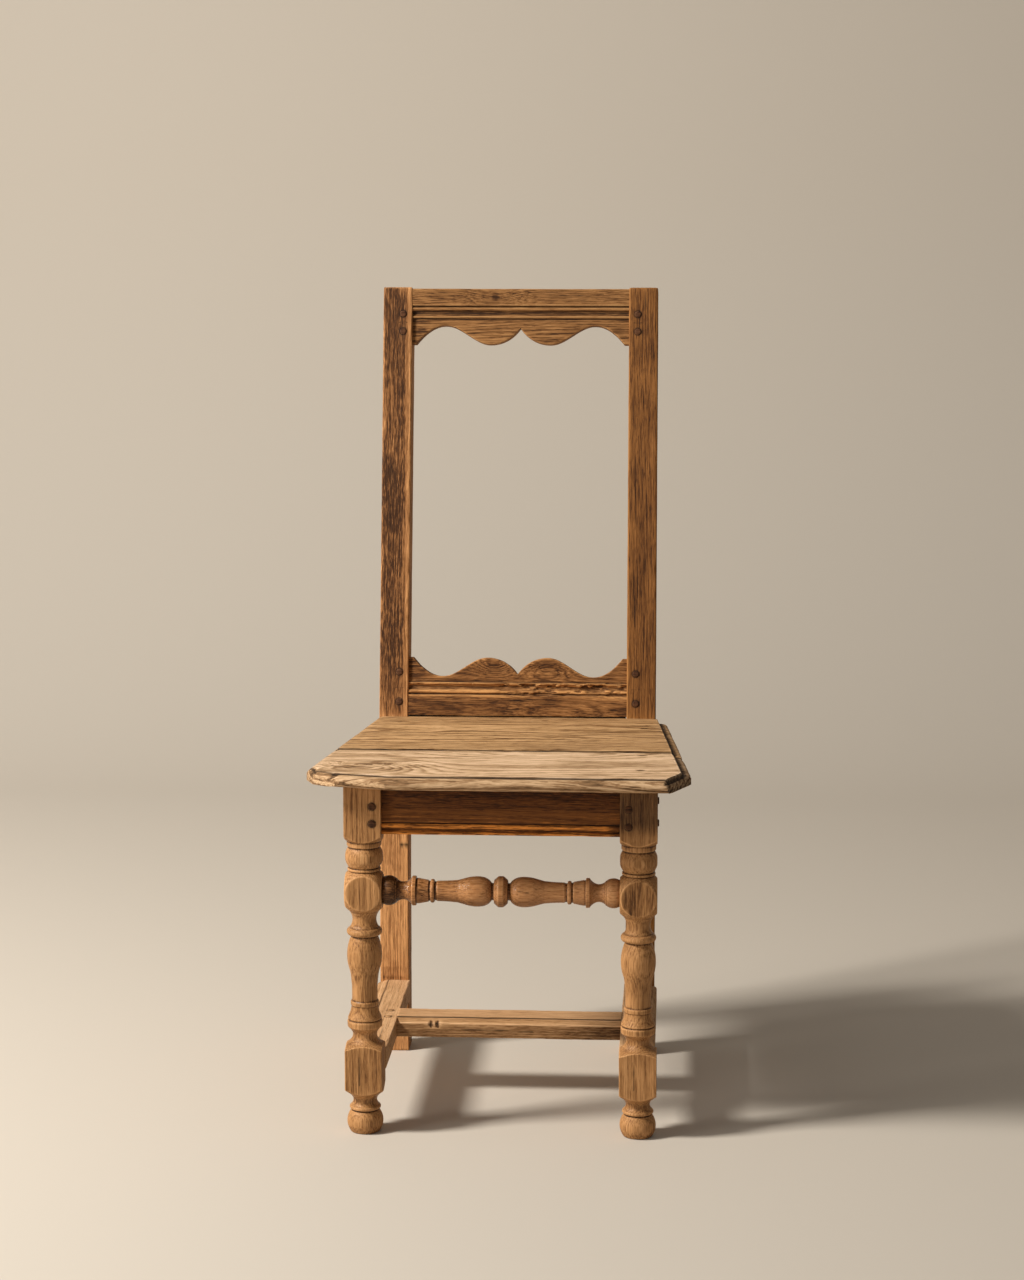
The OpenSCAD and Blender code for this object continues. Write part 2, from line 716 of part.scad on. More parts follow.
module cross_stretcher() {
    w = cross_w / 2;
    color(pale_oak) centred()
        difference() {
            union() {
                along_x(-side_inner_x, side_inner_x)
                    translate([cross_y, cross_z])
                        polygon([[-w, 0], [w, 0], [w, cross_t], [-w + chamfer_w, cross_t],
                                 [-w, cross_t - chamfer_d]]);
                block([-side_inner_x - cross_tenon_l, cross_y - cross_tenon_w / 2, low_tenon_z],
                      [side_inner_x + cross_tenon_l, cross_y + cross_tenon_w / 2,
                       low_tenon_z + tenon_t]);
            }
            on_both_sides() cross_peg_set(fit);
        }
}

// ---------- the seat ----------

// Corners of the seat, anticlockwise from above, starting at the left end of the nose
corner_left = [[seat_left + 43, nose_y + 15], [seat_left + 102, nose_y]];
corner_right = [[seat_right - 28, nose_y], [seat_right, nose_y + 64]];
side_left = [[-post_outer_x - rear_over_left, seat_rear_y], [seat_left, nose_y + 64]];
side_right_rear = [post_outer_x + rear_over_right, seat_rear_y];
worn_left = [seat_left + 10, nose_y + 40];

function seat_outline() = concat(
    corner_left, corner_right,
    [side_right_rear,
     [tongue_x, seat_rear_y], [tongue_x, tongue_y],
     [-tongue_x, tongue_y], [-tongue_x, seat_rear_y]],
    side_left,
    [worn_left]);

// What the moulded edge takes off along one side: w wide, with a step beside the field
module edge_cut(a, b, w, step, under = false) {
    over = 20;
    run = norm(b - a) + 2 * over;
    top = board_t;
    translate([a.x, a.y, 0])
        rotate([0, 0, atan2(b.y - a.y, b.x - a.x)])
            along_x(-over, run - over) {
                polygon(concat(
                    [[-past, top - edge_drop], [-past, top + 1], [w, top + 1]],
                    bend([w, top - step], [1.5, top - step], [0, top - edge_drop])));
                if (under)
                    polygon(concat(
                        [[-past, -1], [-past, nose_lift]],
                        bend([0, nose_lift], [1, 0], [w, 0]),
                        [[w, -1]]));
            }
}

module seat_slab() {
    translate([0, 0, leg_top])
        difference() {
            linear_extrude(board_t) polygon(seat_outline());
            edge_cut(corner_left[1], corner_right[0], edge_w, nose_step, true);
            edge_cut(corner_right[0], corner_right[1], edge_w * 0.45, side_step);
            edge_cut(corner_right[1], side_right_rear, edge_w, side_step);
            edge_cut(side_left[0], side_left[1], edge_w * 0.6, side_step * 0.5);
            edge_cut(side_left[1], worn_left, edge_w * 0.5, nose_step);
            edge_cut(worn_left, corner_left[0], edge_w * 0.7, nose_step);
            edge_cut(corner_left[0], corner_left[1], edge_w, nose_step, true);
        }
}

module seat_board_front() {
    color(pale_oak) centred()
        difference() {
            intersection() {
                seat_slab();
                block([seat_left - past, nose_y - past, 0],
                      [seat_right + past, seam_y - seam_gap / 2, seat_h + past]);
            }
            on_both_sides() seat_nail_set(fit);
        }
}

module seat_board_rear() {
    color(pale_oak) centred()
        difference() {
            intersection() {
                seat_slab();
                block([seat_left - past, seam_y + seam_gap / 2, 0],
                      [seat_right + past, post_back_y, seat_h + past]);
            }
            on_both_sides() seat_nail_set(fit);
        }
}

// ---------- the pegs and the nails ----------

module crest_rail_pegs() {
    color(peg_oak) centred() on_both_sides() crest_peg_set(0);
}
module lower_back_rail_pegs() {
    color(peg_oak) centred() on_both_sides() lower_peg_set(0);
}
module front_seat_rail_pegs() {
    color(peg_oak) centred() on_both_sides() front_peg_set(0);
}
module side_seat_rail_pegs() {
    color(peg_oak) centred()
        on_both_sides() {
            side_front_peg_set(0);
            side_rear_peg_set(0);
        }
}
module rear_seat_rail_pegs() {
    color(peg_oak) centred() on_both_sides() rear_peg_set(0);
}
module cross_stretcher_pegs() {
    color(peg_oak) centred() on_both_sides() cross_peg_set(0);
}
module seat_nails() {
    color(iron) centred() on_both_sides() seat_nail_set(0);
}

front_leg_left();
front_leg_right();
rear_post_left();
rear_post_right();
crest_rail();
lower_back_rail();
front_seat_rail();
side_seat_rail_left();
side_seat_rail_right();
rear_seat_rail();
turned_front_stretcher();
side_stretcher_left();
side_stretcher_right();
cross_stretcher();
seat_board_front();
seat_board_rear();
crest_rail_pegs();
lower_back_rail_pegs();
front_seat_rail_pegs();
side_seat_rail_pegs();
rear_seat_rail_pegs();
cross_stretcher_pegs();
seat_nails();
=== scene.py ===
# %% [markdown]
# # Dressing a weathered oak side chair
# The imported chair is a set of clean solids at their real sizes. Here each of them gets the skin that a
# hundred and more years leave on stripped oak: worn arrises, open grain, drying cracks, stains and pegs
# with dark outlines. The frame comes first, because every piece is placed from it.

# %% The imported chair
import itertools
import math

import bpy
import numpy as np
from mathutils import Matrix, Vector


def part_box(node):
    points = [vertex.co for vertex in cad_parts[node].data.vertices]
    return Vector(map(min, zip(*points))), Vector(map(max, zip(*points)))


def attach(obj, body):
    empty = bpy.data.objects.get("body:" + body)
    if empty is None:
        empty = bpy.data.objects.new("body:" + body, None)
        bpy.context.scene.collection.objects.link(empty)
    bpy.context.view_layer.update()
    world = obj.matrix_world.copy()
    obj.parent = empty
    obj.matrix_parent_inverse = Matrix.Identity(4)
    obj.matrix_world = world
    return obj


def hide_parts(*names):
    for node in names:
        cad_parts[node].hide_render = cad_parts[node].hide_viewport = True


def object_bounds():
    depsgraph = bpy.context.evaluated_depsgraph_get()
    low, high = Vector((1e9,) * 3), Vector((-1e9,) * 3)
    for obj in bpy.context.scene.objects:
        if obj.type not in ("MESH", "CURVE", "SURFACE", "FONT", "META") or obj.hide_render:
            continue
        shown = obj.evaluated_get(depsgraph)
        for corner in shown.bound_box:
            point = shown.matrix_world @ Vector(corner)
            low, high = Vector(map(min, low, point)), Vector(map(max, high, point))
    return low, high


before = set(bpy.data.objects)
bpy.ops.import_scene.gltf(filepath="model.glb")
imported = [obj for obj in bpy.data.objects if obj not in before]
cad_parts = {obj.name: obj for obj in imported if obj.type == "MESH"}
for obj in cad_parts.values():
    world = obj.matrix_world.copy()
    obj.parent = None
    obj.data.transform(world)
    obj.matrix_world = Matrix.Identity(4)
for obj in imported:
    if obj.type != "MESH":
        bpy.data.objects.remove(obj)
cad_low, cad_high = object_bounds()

print("the packed chair has", len(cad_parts), "nodes")

# %% [markdown]
# Joiners measure in millimetres from one datum. The datum here is the point on the floor midway between
# the axes of the two front legs, which is found from the legs' own boxes. Blender works in metres, so a
# point is turned into metres only when its mesh is made.

# %% The datum and the sizes of the main pieces
MM = 0.001
left_low, left_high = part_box("front_leg_left")
right_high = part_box("front_leg_right")[1]
DATUM = np.array([(left_low.x + right_high.x) / 2, (left_low.y + left_high.y) / 2, 0.0])


def span(node):
    """The lowest and highest corner of a CAD node, in millimetres from the datum."""
    low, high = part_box(node)
    return (np.array(low) - DATUM) / MM, (np.array(high) - DATUM) / MM


leg_low, leg_high = span("front_leg_right")
post_low, post_high = span("rear_post_right")
front_low, front_high = span("front_seat_rail")
board_low, board_high = span("seat_board_front")
rear_board_low = span("seat_board_rear")[0]
side_low, side_high = span("side_stretcher_right")
cross_low, cross_high = span("cross_stretcher")
turned_low, turned_high = span("turned_front_stretcher")
side_rail_low, side_rail_high = span("side_seat_rail_right")
rear_rail_low, rear_rail_high = span("rear_seat_rail")

LEG_R = (leg_high[0] - leg_low[0]) / 2
LEG_X = (leg_high[0] + leg_low[0]) / 2
LEG_TOP = leg_high[2]
LEG_INNER = LEG_X - LEG_R
POST_IN, POST_OUT = post_low[0], post_high[0]
POST_X = (POST_IN + POST_OUT) / 2
POST_FACE = post_low[1]
POST_D = 40.7
SEAT_H = board_high[2]
RAKE = math.radians(8.4)
RAKED_L = (post_high[2] - SEAT_H) / math.cos(RAKE)
POST_T = POST_D * math.cos(RAKE)
STRETCHER_Z = (turned_low[2] + turned_high[2]) / 2
TUCK = 1.5  # how far the end of a rail or stretcher runs on inside the wood beside it
print("legs", round(2 * LEG_R, 1), "mm square, posts", round(POST_OUT - POST_IN, 1), "mm wide")
print("seat", round(SEAT_H, 1), "mm high, back", round(post_high[2], 1), "mm high")

# %% [markdown]
# The camera stands a little above the seat's height and to the right of the middle, as far away as a
# person who looks the chair over. A long lens keeps the posts almost parallel. A small downward shift
# keeps them upright, as the falling front of a view camera does, and the rest is a slight tilt.

# %% Camera
CAMERA_PLACE = (0.2162, -3.5622, 1.1155)
CAMERA_TILT = 5.568
CAMERA_TURN = 3.401
FOCAL_LENGTH, FILM_WIDTH, FALL = 80.72, 36, -0.12
lens = bpy.data.cameras.new("camera")
lens.lens = FOCAL_LENGTH
lens.sensor_width = FILM_WIDTH
lens.shift_y = FALL
camera = bpy.data.objects.new("camera", lens)
camera.location = CAMERA_PLACE
camera.rotation_euler = (math.radians(90 - CAMERA_TILT), 0, math.radians(CAMERA_TURN))
bpy.context.scene.collection.objects.link(camera)
bpy.context.scene.camera = camera
bpy.context.scene.view_settings.view_transform = "Standard"
away = (Vector(CAMERA_PLACE) - (Vector(cad_low) + Vector(cad_high)) / 2).length
print("camera", round(away, 2), "m away")

# %% [markdown]
# A weathered surface reads by the shadows in its grooves, so the main light is one soft lamp high on the
# left that rakes across the wood. A weak low lamp reaches under the seat, and an even, faint world
# fills the shadows. Together they light the seat about as bright as its own colour. The floor sweeps up
# behind into a plain backdrop, with a large radius so that no corner line shows.


# %% Stage and light
def plain(name, colour, roughness):
    """A material of one colour, for the stage."""
    material = bpy.data.materials.new(name)
    material.use_nodes = True
    shader = material.node_tree.nodes["Principled BSDF"]
    shader.inputs["Base Color"].default_value = (*colour, 1)
    shader.inputs["Roughness"].default_value = roughness
    return material


SWEEP_R, SWEEP_Y, SWEEP_W, SWEEP_H, SWEEP_STEPS = 1.2, 1.8, 25.0, 12.0, 24
PAPER = (0.62, 0.56, 0.485)
sweep = [(-SWEEP_W, 0.0), (SWEEP_Y, 0.0)]
for step in range(1, SWEEP_STEPS + 1):
    turn = math.radians(90 * step / SWEEP_STEPS)
    sweep.append((SWEEP_Y + SWEEP_R * math.sin(turn), SWEEP_R * (1 - math.cos(turn))))
sweep.append((SWEEP_Y + SWEEP_R, SWEEP_H))
corners = [(x, y, z) for y, z in sweep for x in (-SWEEP_W, SWEEP_W)]
stage_mesh = bpy.data.meshes.new("stage")
strips = [(2 * i, 2 * i + 1, 2 * i + 3, 2 * i + 2) for i in range(len(sweep) - 1)]
stage_mesh.from_pydata(corners, [], strips)
stage_mesh.polygons.foreach_set("use_smooth", [True] * len(stage_mesh.polygons))
stage_mesh.materials.append(plain("pale_paper", PAPER, 0.9))
stage = bpy.data.objects.new("stage", stage_mesh)
bpy.context.scene.collection.objects.link(stage)


def lamp(name, place, aim, power, colour):
    """A square soft lamp that faces a point."""
    light = bpy.data.lights.new(name, "AREA")
    light.size = LAMP_SIZE
    light.energy = power
    light.color = colour
    holder = bpy.data.objects.new(name, light)
    holder.location = place
    holder.rotation_euler = (Vector(aim) - Vector(place)).to_track_quat("-Z", "Y").to_euler()
    bpy.context.scene.collection.objects.link(holder)


MIDDLE = (0, 0, 0.5)
LAMP_SIZE = 0.7
WORLD_COLOUR, WORLD_STRENGTH = (1.0, 0.97, 0.93, 1), 0.19
lamp("main_lamp", (-2.95, -1.22, 2.85), MIDDLE, 212, (1.0, 0.96, 0.89))
lamp("low_lamp", (-3.0, -1.9, 1.0), MIDDLE, 24, (1.0, 0.95, 0.87))
world = bpy.data.worlds.new("even_light")
world.use_nodes = True
world.node_tree.nodes["Background"].inputs["Color"].default_value = WORLD_COLOUR
world.node_tree.nodes["Background"].inputs["Strength"].default_value = WORLD_STRENGTH
bpy.context.scene.world = world
print("stage", 2 * SWEEP_W, "m wide, two lamps and an even world")

# %% [markdown]
# Old wood is never quite straight or even. A repeatable noise gives every dip, stain and wander its
# shape: random heights sit on a grid of cells and are blended smoothly in between. Stretched cells give
# streaks that run with the grain.

# %% Noise and spots
HEIGHTS = np.random.default_rng(7).uniform(-1, 1, 4096)
PRIMES = (73856093, 19349663, 83492791)  # they scatter the cells over the heights
SEED_STEP = 97.3  # cells between the noise of one seed and that of the next


def fade(t):
    """0 to 1 with a soft start and end."""
    t = np.clip(t, 0, 1)
    return t * t * (3 - 2 * t)


def noise(points, size, seed=0):
    """Smooth noise from -1 to 1. The size of its bumps is one number, or one for each axis, in mm."""
    q = points / np.asarray(size, float) + SEED_STEP * (seed + 1)
    cell = np.floor(q).astype(np.int64)
    near = fade(q - cell)
    total = np.zeros(q.shape[:-1])
    for corner in itertools.product((0, 1), repeat=3):
        c = cell + corner
        pick = (c[..., 0] * PRIMES[0] ^ c[..., 1] * PRIMES[1] ^ c[..., 2] * PRIMES[2]) & (len(HEIGHTS) - 1)
        total += HEIGHTS[pick] * np.prod(np.where(corner, near, 1 - near), axis=-1)
    return total


def rough(points, size, seed=0):
    """Noise in three sizes, for ragged edges and blotches."""
    size = np.asarray(size, float)
    return (noise(points, size, seed) + noise(points, size / 2.1, seed + 1) / 2
            + noise(points, size / 4.3, seed + 2) / 4) / 1.75


def spot(points, place, size, ragged=0.35):
    """1 at a place, falling to 0 at about its size, with a ragged rim."""
    q = np.linalg.norm((points - np.array(place)) / np.array(size, float), axis=-1)
    return fade(1.35 - q * (1 + ragged * rough(points, np.maximum(np.array(size) / 1.5, 2), 40)))


def line(points, path, width, wander=0.8):
    """1 on a path of points, falling to 0 at a distance of width, with a wandering course."""
    moved = points + wander * np.stack([noise(points, 17, 50 + i) for i in range(3)], axis=-1)
    gap = np.full(points.shape[:-1], 1e9)
    for a, b in zip(np.array(path[:-1], float), np.array(path[1:], float)):
        share = np.clip(((moved - a) @ (b - a)) / ((b - a) @ (b - a)), 0, 1)
        gap = np.minimum(gap, np.linalg.norm(moved - a - share[..., None] * (b - a), axis=-1))
    return np.clip(1.2 - gap / width, 0, 1)


def scored(up, places, width=0.9):
    """1 at certain heights, falling to 0 beside them: a dark line along a quirk, a step or a band."""
    return sum(np.exp(-((up - place) / width) ** 2) for place in places)


print("noise of one point", round(float(noise(np.array([[1.0, 2.0, 3.0]]), 10)[0]), 3))

# %% [markdown]
# Every shape of the chair starts as a path or a section. A joiner's curves are drawn by eye between two
# points, and each curve here is also drawn between two: a start, an end, and a point that draws it aside.
# The corners of a bar are turned a little, because no old arris is sharp.


# %% Curves and sections
def bend(a, c, b, n=6):
    """Points of a smooth curve from a to b that is drawn towards c."""
    a, b, c = (np.array(p, float) for p in (a, b, c))
    return [(1 - t) ** 2 * a + 2 * t * (1 - t) * c + t * t * b for t in np.linspace(0, 1, n + 1)]


def swell(a, b, r, n=10):
    """Points of a curve from a to b, as (radius, place), whose middle has radius r."""
    return bend(a, (2 * r - (a[0] + b[0]) / 2, (a[1] + b[1]) / 2), b, n)


def refine(points, step, closed=False):
    """The same path with points no further apart than step."""
    points = [np.array(p, float) for p in points]
    path = points + points[:1] if closed else points
    fine = []
    for a, b in zip(path[:-1], path[1:]):
        n = max(1, math.ceil(np.linalg.norm(b - a) / step))
        fine += [a + (b - a) * i / n for i in range(n)]
    return np.array(fine if closed else fine + [path[-1]])


def outline(corners, radius=1.2, step=1.7):
    """The section of a bar: straight sides, and a small round turn at each corner."""
    corners = np.array(corners, float)
    turned = []
    for before, corner, after in zip(np.roll(corners, 1, 0), corners, np.roll(corners, -1, 0)):
        start = corner + (before - corner) * radius / np.linalg.norm(before - corner)
        end = corner + (after - corner) * radius / np.linalg.norm(after - corner)
        turned += bend(start, corner, end, 4)
    return refine(turned, step, closed=True)


print("a bar 40 mm square has", len(outline([(0, 0), (40, 0), (40, 40), (0, 40)])), "points round it")

# %% [markdown]
# Every piece is skinned in the same way. Rings of points are laid along its length, and each ring is
# joined to the next by quads, as a cooper's staves lie round a barrel. A ring's points keep their order,
# so the same net can carry a square block, a round neck or a scalloped rail.
#
# The net also tells where the wood is sharp or hollow. If each point is compared with the average of its
# neighbours, it lies outside it on an arris and inside it in a groove. Hands and boots wear the arrises,
# dirt stays in the grooves and painted shade darkens them, so shape, stains and shade follow from one
# measure.


# %% Rings
def outward(rings):
    """The outward direction at each point of the rings."""
    around = np.roll(rings, -1, 1) - np.roll(rings, 1, 1)
    along = np.gradient(rings, axis=0)
    normal = np.cross(around, along)
    normal /= np.linalg.norm(normal, axis=-1, keepdims=True) + 1e-9
    middle = rings[len(rings) // 2]
    if np.sum(normal[len(rings) // 2] * (middle - middle.mean(0))) < 0:
        normal = -normal
    return normal


def averaged(rings, times):
    """Each point moved to the average of its neighbours, several times."""
    for _ in range(times):
        padded = np.concatenate([rings[:1], rings, rings[-1:]])
        rings = (np.roll(rings, 1, 1) + np.roll(rings, -1, 1) + padded[:-2] + padded[2:]) / 4
    return rings


def hollows(rings, normal, times=4):
    """How far each point lies inside the surface round it, in mm: above 0 in grooves."""
    return np.sum((averaged(rings, times) - rings) * normal, axis=-1)


def with_ends(rings, start=True, end=True, radius=1.6):
    """Adds a rounded rim and shrinking rings that close the ends which can be seen."""
    def closing(ring, inner):
        middle = ring.mean(0)
        out = (ring - middle) / np.linalg.norm(ring - middle, axis=-1, keepdims=True)
        away = ring.mean(0) - inner.mean(0)
        away /= np.linalg.norm(away)
        rim = [ring - out * radius * (1 - math.cos(t)) - away * radius * (1 - math.sin(t))
               for t in np.radians([0, 30, 60, 90])]
        return rim + [middle + (rim[-1] - middle) * share for share in (0.9, 0.75, 0.55, 0.35, 0.15)]

    body = list(rings[1:-1] if start and end else rings[1:] if start else rings[:-1] if end else rings)
    first = closing(rings[0], rings[1])[::-1] if start else []
    last = closing(rings[-1], rings[-2]) if end else []
    return np.array(first + body + last)


print("rings can be closed, smoothed and measured")

# %% [markdown]
# Wear is taken off the clean shape along its outward direction. A planed face is never quite flat, the
# soft wood between the years' rings sinks, and the arrises are bitten where they were knocked. The same
# measures then say where dirt, painted shade in the hollows, pale rubbed wood and cracks belong. Each
# point also learns where it lay in the tree, so that the figure runs through a board as sawn wood's does.


# %% Wear, marks and grain
def weather(rings, axis, seed, arris=0.9, planed=0.25, ridges=0.12, cut=0):
    """Wears a clean shape. Returns the worn rings, and the measures that the colours use."""
    stretched = np.full(3, 2.6)
    stretched[axis] = 60
    normal = outward(rings)
    hollow = hollows(rings, normal)
    edge = np.clip(-hollow / 0.35, 0, 1)
    depth = planed * (noise(rings, 42, seed) + 1) / 2
    depth += ridges * (noise(rings, stretched, seed + 3) + 1) / 2
    bitten = np.clip(rough(rings, np.where(stretched > 9, 22, 6), seed + 5) * 2 - 0.35, 0, 1)
    depth += edge * arris * (0.25 + bitten) + cut
    worn = rings - normal * depth[..., None]
    after = hollows(worn, normal)
    # A broad measure of hollows, used for painted shade in necks and grooves.
    deep = np.clip(hollows(worn, normal, 18), 0, 1)
    edge = np.maximum(edge, np.clip(-after / 0.5, 0, 1))
    return worn, {"edge": edge, "hollow": np.clip(after / 0.3, 0, 1), "deep": deep, "bitten": edge * bitten}


def marks_of(rings, wear, seed, dark=0, pale=0, cracks_and_shade=0, polish=0, dirt_and_shade=0.8):
    """Dark stains and shade, pale wear and highlights, open cracks, and polish, each from 0 to 1; the shade
    and highlights are painted.
    """
    patchy = fade(0.5 + rough(rings, 16, seed + 9))
    # Grooves are darkened by dirt and by painted shade, and the broad deep hollows by painted shade.
    groove_dirt_and_shade = wear["hollow"] * dirt_and_shade
    dark = 0.4 * groove_dirt_and_shade + 0.7 * dirt_and_shade * wear["deep"] + dark
    pale = wear["edge"] * 0.35 * patchy + wear["bitten"] * 0.3 + pale
    # The grooves are also mixed towards near-black, as dirt and painted shade.
    cracks_and_shade = np.maximum(cracks_and_shade, 0.8 * groove_dirt_and_shade * (0.6 + 0.4 * patchy))
    return np.clip(np.stack(np.broadcast_arrays(dark, pale, cracks_and_shade, polish), -1), 0, 1)


def grain_of(rings, axis, pith, seed, ring_width=3.6, knots=(), sway=2.5, ripple=0.12):
    """Where each point lay in the tree: along and across the grain, and in which year's ring."""
    first, second = [i for i in range(3) if i != axis]
    stretched = np.full(3, 38.0)
    stretched[axis] = 210
    flow = sway * noise(rings, stretched, seed + 11)
    lift = np.zeros(rings.shape[:-1])
    for place, size, rise in knots:
        far = np.linalg.norm((rings - np.array(place)) / np.array(size, float), axis=-1)
        lift += rise * np.exp(-far * far)
    across = rings[..., first] - pith[0] + flow
    deep = rings[..., second] - pith[1] + sway * noise(rings, stretched, seed + 12)
    years = np.hypot(across, deep) / ring_width + lift
    years += 0.9 * noise(rings, stretched * 0.8, seed + 13) + ripple * noise(rings, stretched / 5, seed + 14)
    tree = np.stack([rings[..., axis], across + lift * ring_width, deep], axis=-1) * MM
    return tree + seed * 0.37, years


print("wear, marks and grain follow from one net of points")

# %% [markdown]
# A skin joins the rings into a closed mesh, and hands its grain and marks to the finish as attributes of
# its points. Where pegs go through a piece, each point also knows how far off the nearest one is, so that
# the finish can draw the dark outline of the peg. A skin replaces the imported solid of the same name.


# %% Skins
def face_up(mesh):
    """Turns the faces outwards if the rings happened to run the other way round."""
    mesh.calc_loop_triangles()
    co = np.empty(len(mesh.vertices) * 3)
    mesh.vertices.foreach_get("co", co)
    tri = np.empty(len(mesh.loop_triangles) * 3, int)
    mesh.loop_triangles.foreach_get("vertices", tri)
    a, b, c = (co.reshape(-1, 3)[tri.reshape(-1, 3)[:, n]] for n in range(3))
    if np.sum(a * np.cross(b, c)) < 0:
        mesh.flip_normals()


def skin(name, nodes, slot, rings, tree, years, marks, material, pegs=(), strip_ends=False):
    """Joins the rings into one closed mesh that carries its grain and its marks."""
    levels, around = rings.shape[:2]
    i = np.arange(levels - 1)[:, None] * around
    j = np.arange(around)[None, :]
    k = (j + 1) % around
    faces = np.stack([i + j, i + k, i + around + k, i + around + j], axis=-1).reshape(-1, 4).tolist()
    last = (levels - 1) * around
    points, tree, years, marks = (a.reshape(levels * around, -1) for a in (rings, tree, years, marks))
    if strip_ends:
        half = around // 2
        for base, turn in ((0, 1), (last, -1)):
            for n in range(half - 1):
                quad = [base + n, base + around - 1 - n, base + around - 2 - n, base + n + 1]
                faces.append(quad[::turn])
    else:
        for base, turn in ((0, -1), (last, 1)):
            centre = len(points)
            points = np.vstack([points, points[base:base + around].mean(0)])
            tree, years, marks = (np.vstack([a, a[base:base + around].mean(0)]) for a in (tree, years, marks))
            faces += [[base + n, base + (n + 1) % around, centre][::turn] for n in range(around)]
    mesh = bpy.data.meshes.new(name)
    mesh.from_pydata((points * MM + DATUM).tolist(), [], faces)
    mesh.attributes.new("tree", "FLOAT_VECTOR", "POINT").data.foreach_set("vector", tree.ravel())
    mesh.attributes.new("years", "FLOAT", "POINT").data.foreach_set("value", years.ravel())
    mesh.attributes.new("marks", "FLOAT_COLOR", "POINT").data.foreach_set("color", marks.ravel())
    if len(pegs):
        away = points[:, None] - np.array(pegs)
        nearest = np.argmin(np.linalg.norm(away, axis=2), axis=1)
        away = away[np.arange(len(points)), nearest]
        mesh.attributes.new("joint", "FLOAT_VECTOR", "POINT").data.foreach_set("vector", away.ravel())
    mesh.polygons.foreach_set("use_smooth", [True] * len(mesh.polygons))
    mesh.materials.append(material)
    mesh.validate()
    mesh.update()
    face_up(mesh)
    obj = bpy.data.objects.new(name, mesh)
    bpy.context.scene.collection.objects.link(obj)
    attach(obj, "root")
    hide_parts(*nodes)
    size = (points.max(0) - points.min(0)).round(1)
    print(f"{name}: {size[0]} x {size[1]} x {size[2]} mm, {sum(len(f) - 2 for f in faces)} triangles")
    return obj


print("skinning tools ready")

# %% [markdown]
# Oak is drawn by four things. The years' rings make soft bands, the open pores make short dark strokes
# along the grain, slow streaks and blotches vary the tone, and time adds its own marks, together with
# painted shade and highlights. Each gives one number, their sum picks a shade between the darkest pore
# and the palest worn wood, and much of the same gives the small relief. The few nodes that this takes
# are made by short functions.


# %% Nodes and colours
def add(tree, kind, inputs=None, **settings):
    """A shader node. Each of its inputs is a value or another node's output."""
    node = tree.nodes.new("ShaderNode" + kind)
    for key, value in settings.items():
        setattr(node, key, value)
    for key, value in (inputs or {}).items():
        if isinstance(value, bpy.types.NodeSocket):
            tree.links.new(value, node.inputs[key])
        else:
            node.inputs[key].default_value = value
    return node


def work(tree, operation, a, b=0.0):
    """The result of a sum on two values."""
    return add(tree, "Math", {0: a, 1: b}, operation=operation).outputs[0]


def ramp(tree, value, stops):
    """A value turned into a colour by stops of (place, colour)."""
    node = add(tree, "ValToRGB", {"Fac": value})
    while len(node.color_ramp.elements) < len(stops):
        node.color_ramp.elements.new(0.5)
    for element, (place, colour) in zip(node.color_ramp.elements, stops):
        element.position = place
        element.color = (*colour, 1)
    return node.outputs["Color"]


def tint(red, green, blue):
    """A colour as a painter names it, from 0 to 255, turned into the light that it reflects."""
    parts = [c / 255 for c in (red, green, blue)]
    return tuple(c / 12.92 if c <= 0.04045 else ((c + 0.055) / 1.055) ** 2.4 for c in parts)


def grey(value):
    """A colour without a hue."""
    return (value, value, value)


print("middle brown reflects", [round(part, 3) for part in tint(140, 97, 56)])

# %% [markdown]
# All the pieces share one recipe, and a finish sets the body colour of its wood. The shades between the
# darkest pore and the palest worn wood are shares of that colour. A finish also says how strong its
# rings, streaks, blotches, pores and dark veins are, how fine its grain is, how pale its worn wood goes
# and how mottled its stains are.


# %% Oak
# The same near-black is mixed in where the marks carry painted shade.
NIGHT = (0.008, 0.004, 0.002, 1)  # the dark inside an open crack
SHADES = [  # place in the ramp, and how much of the body's red, green and blue is left there
    (0.0, (0.42, 0.36, 0.27)), (0.27, (0.74, 0.68, 0.59)), (0.5, (1.0, 1.0, 0.97)),
    (0.74, (1.17, 1.2, 1.25)), (1.0, (1.3, 1.4, 1.52))]


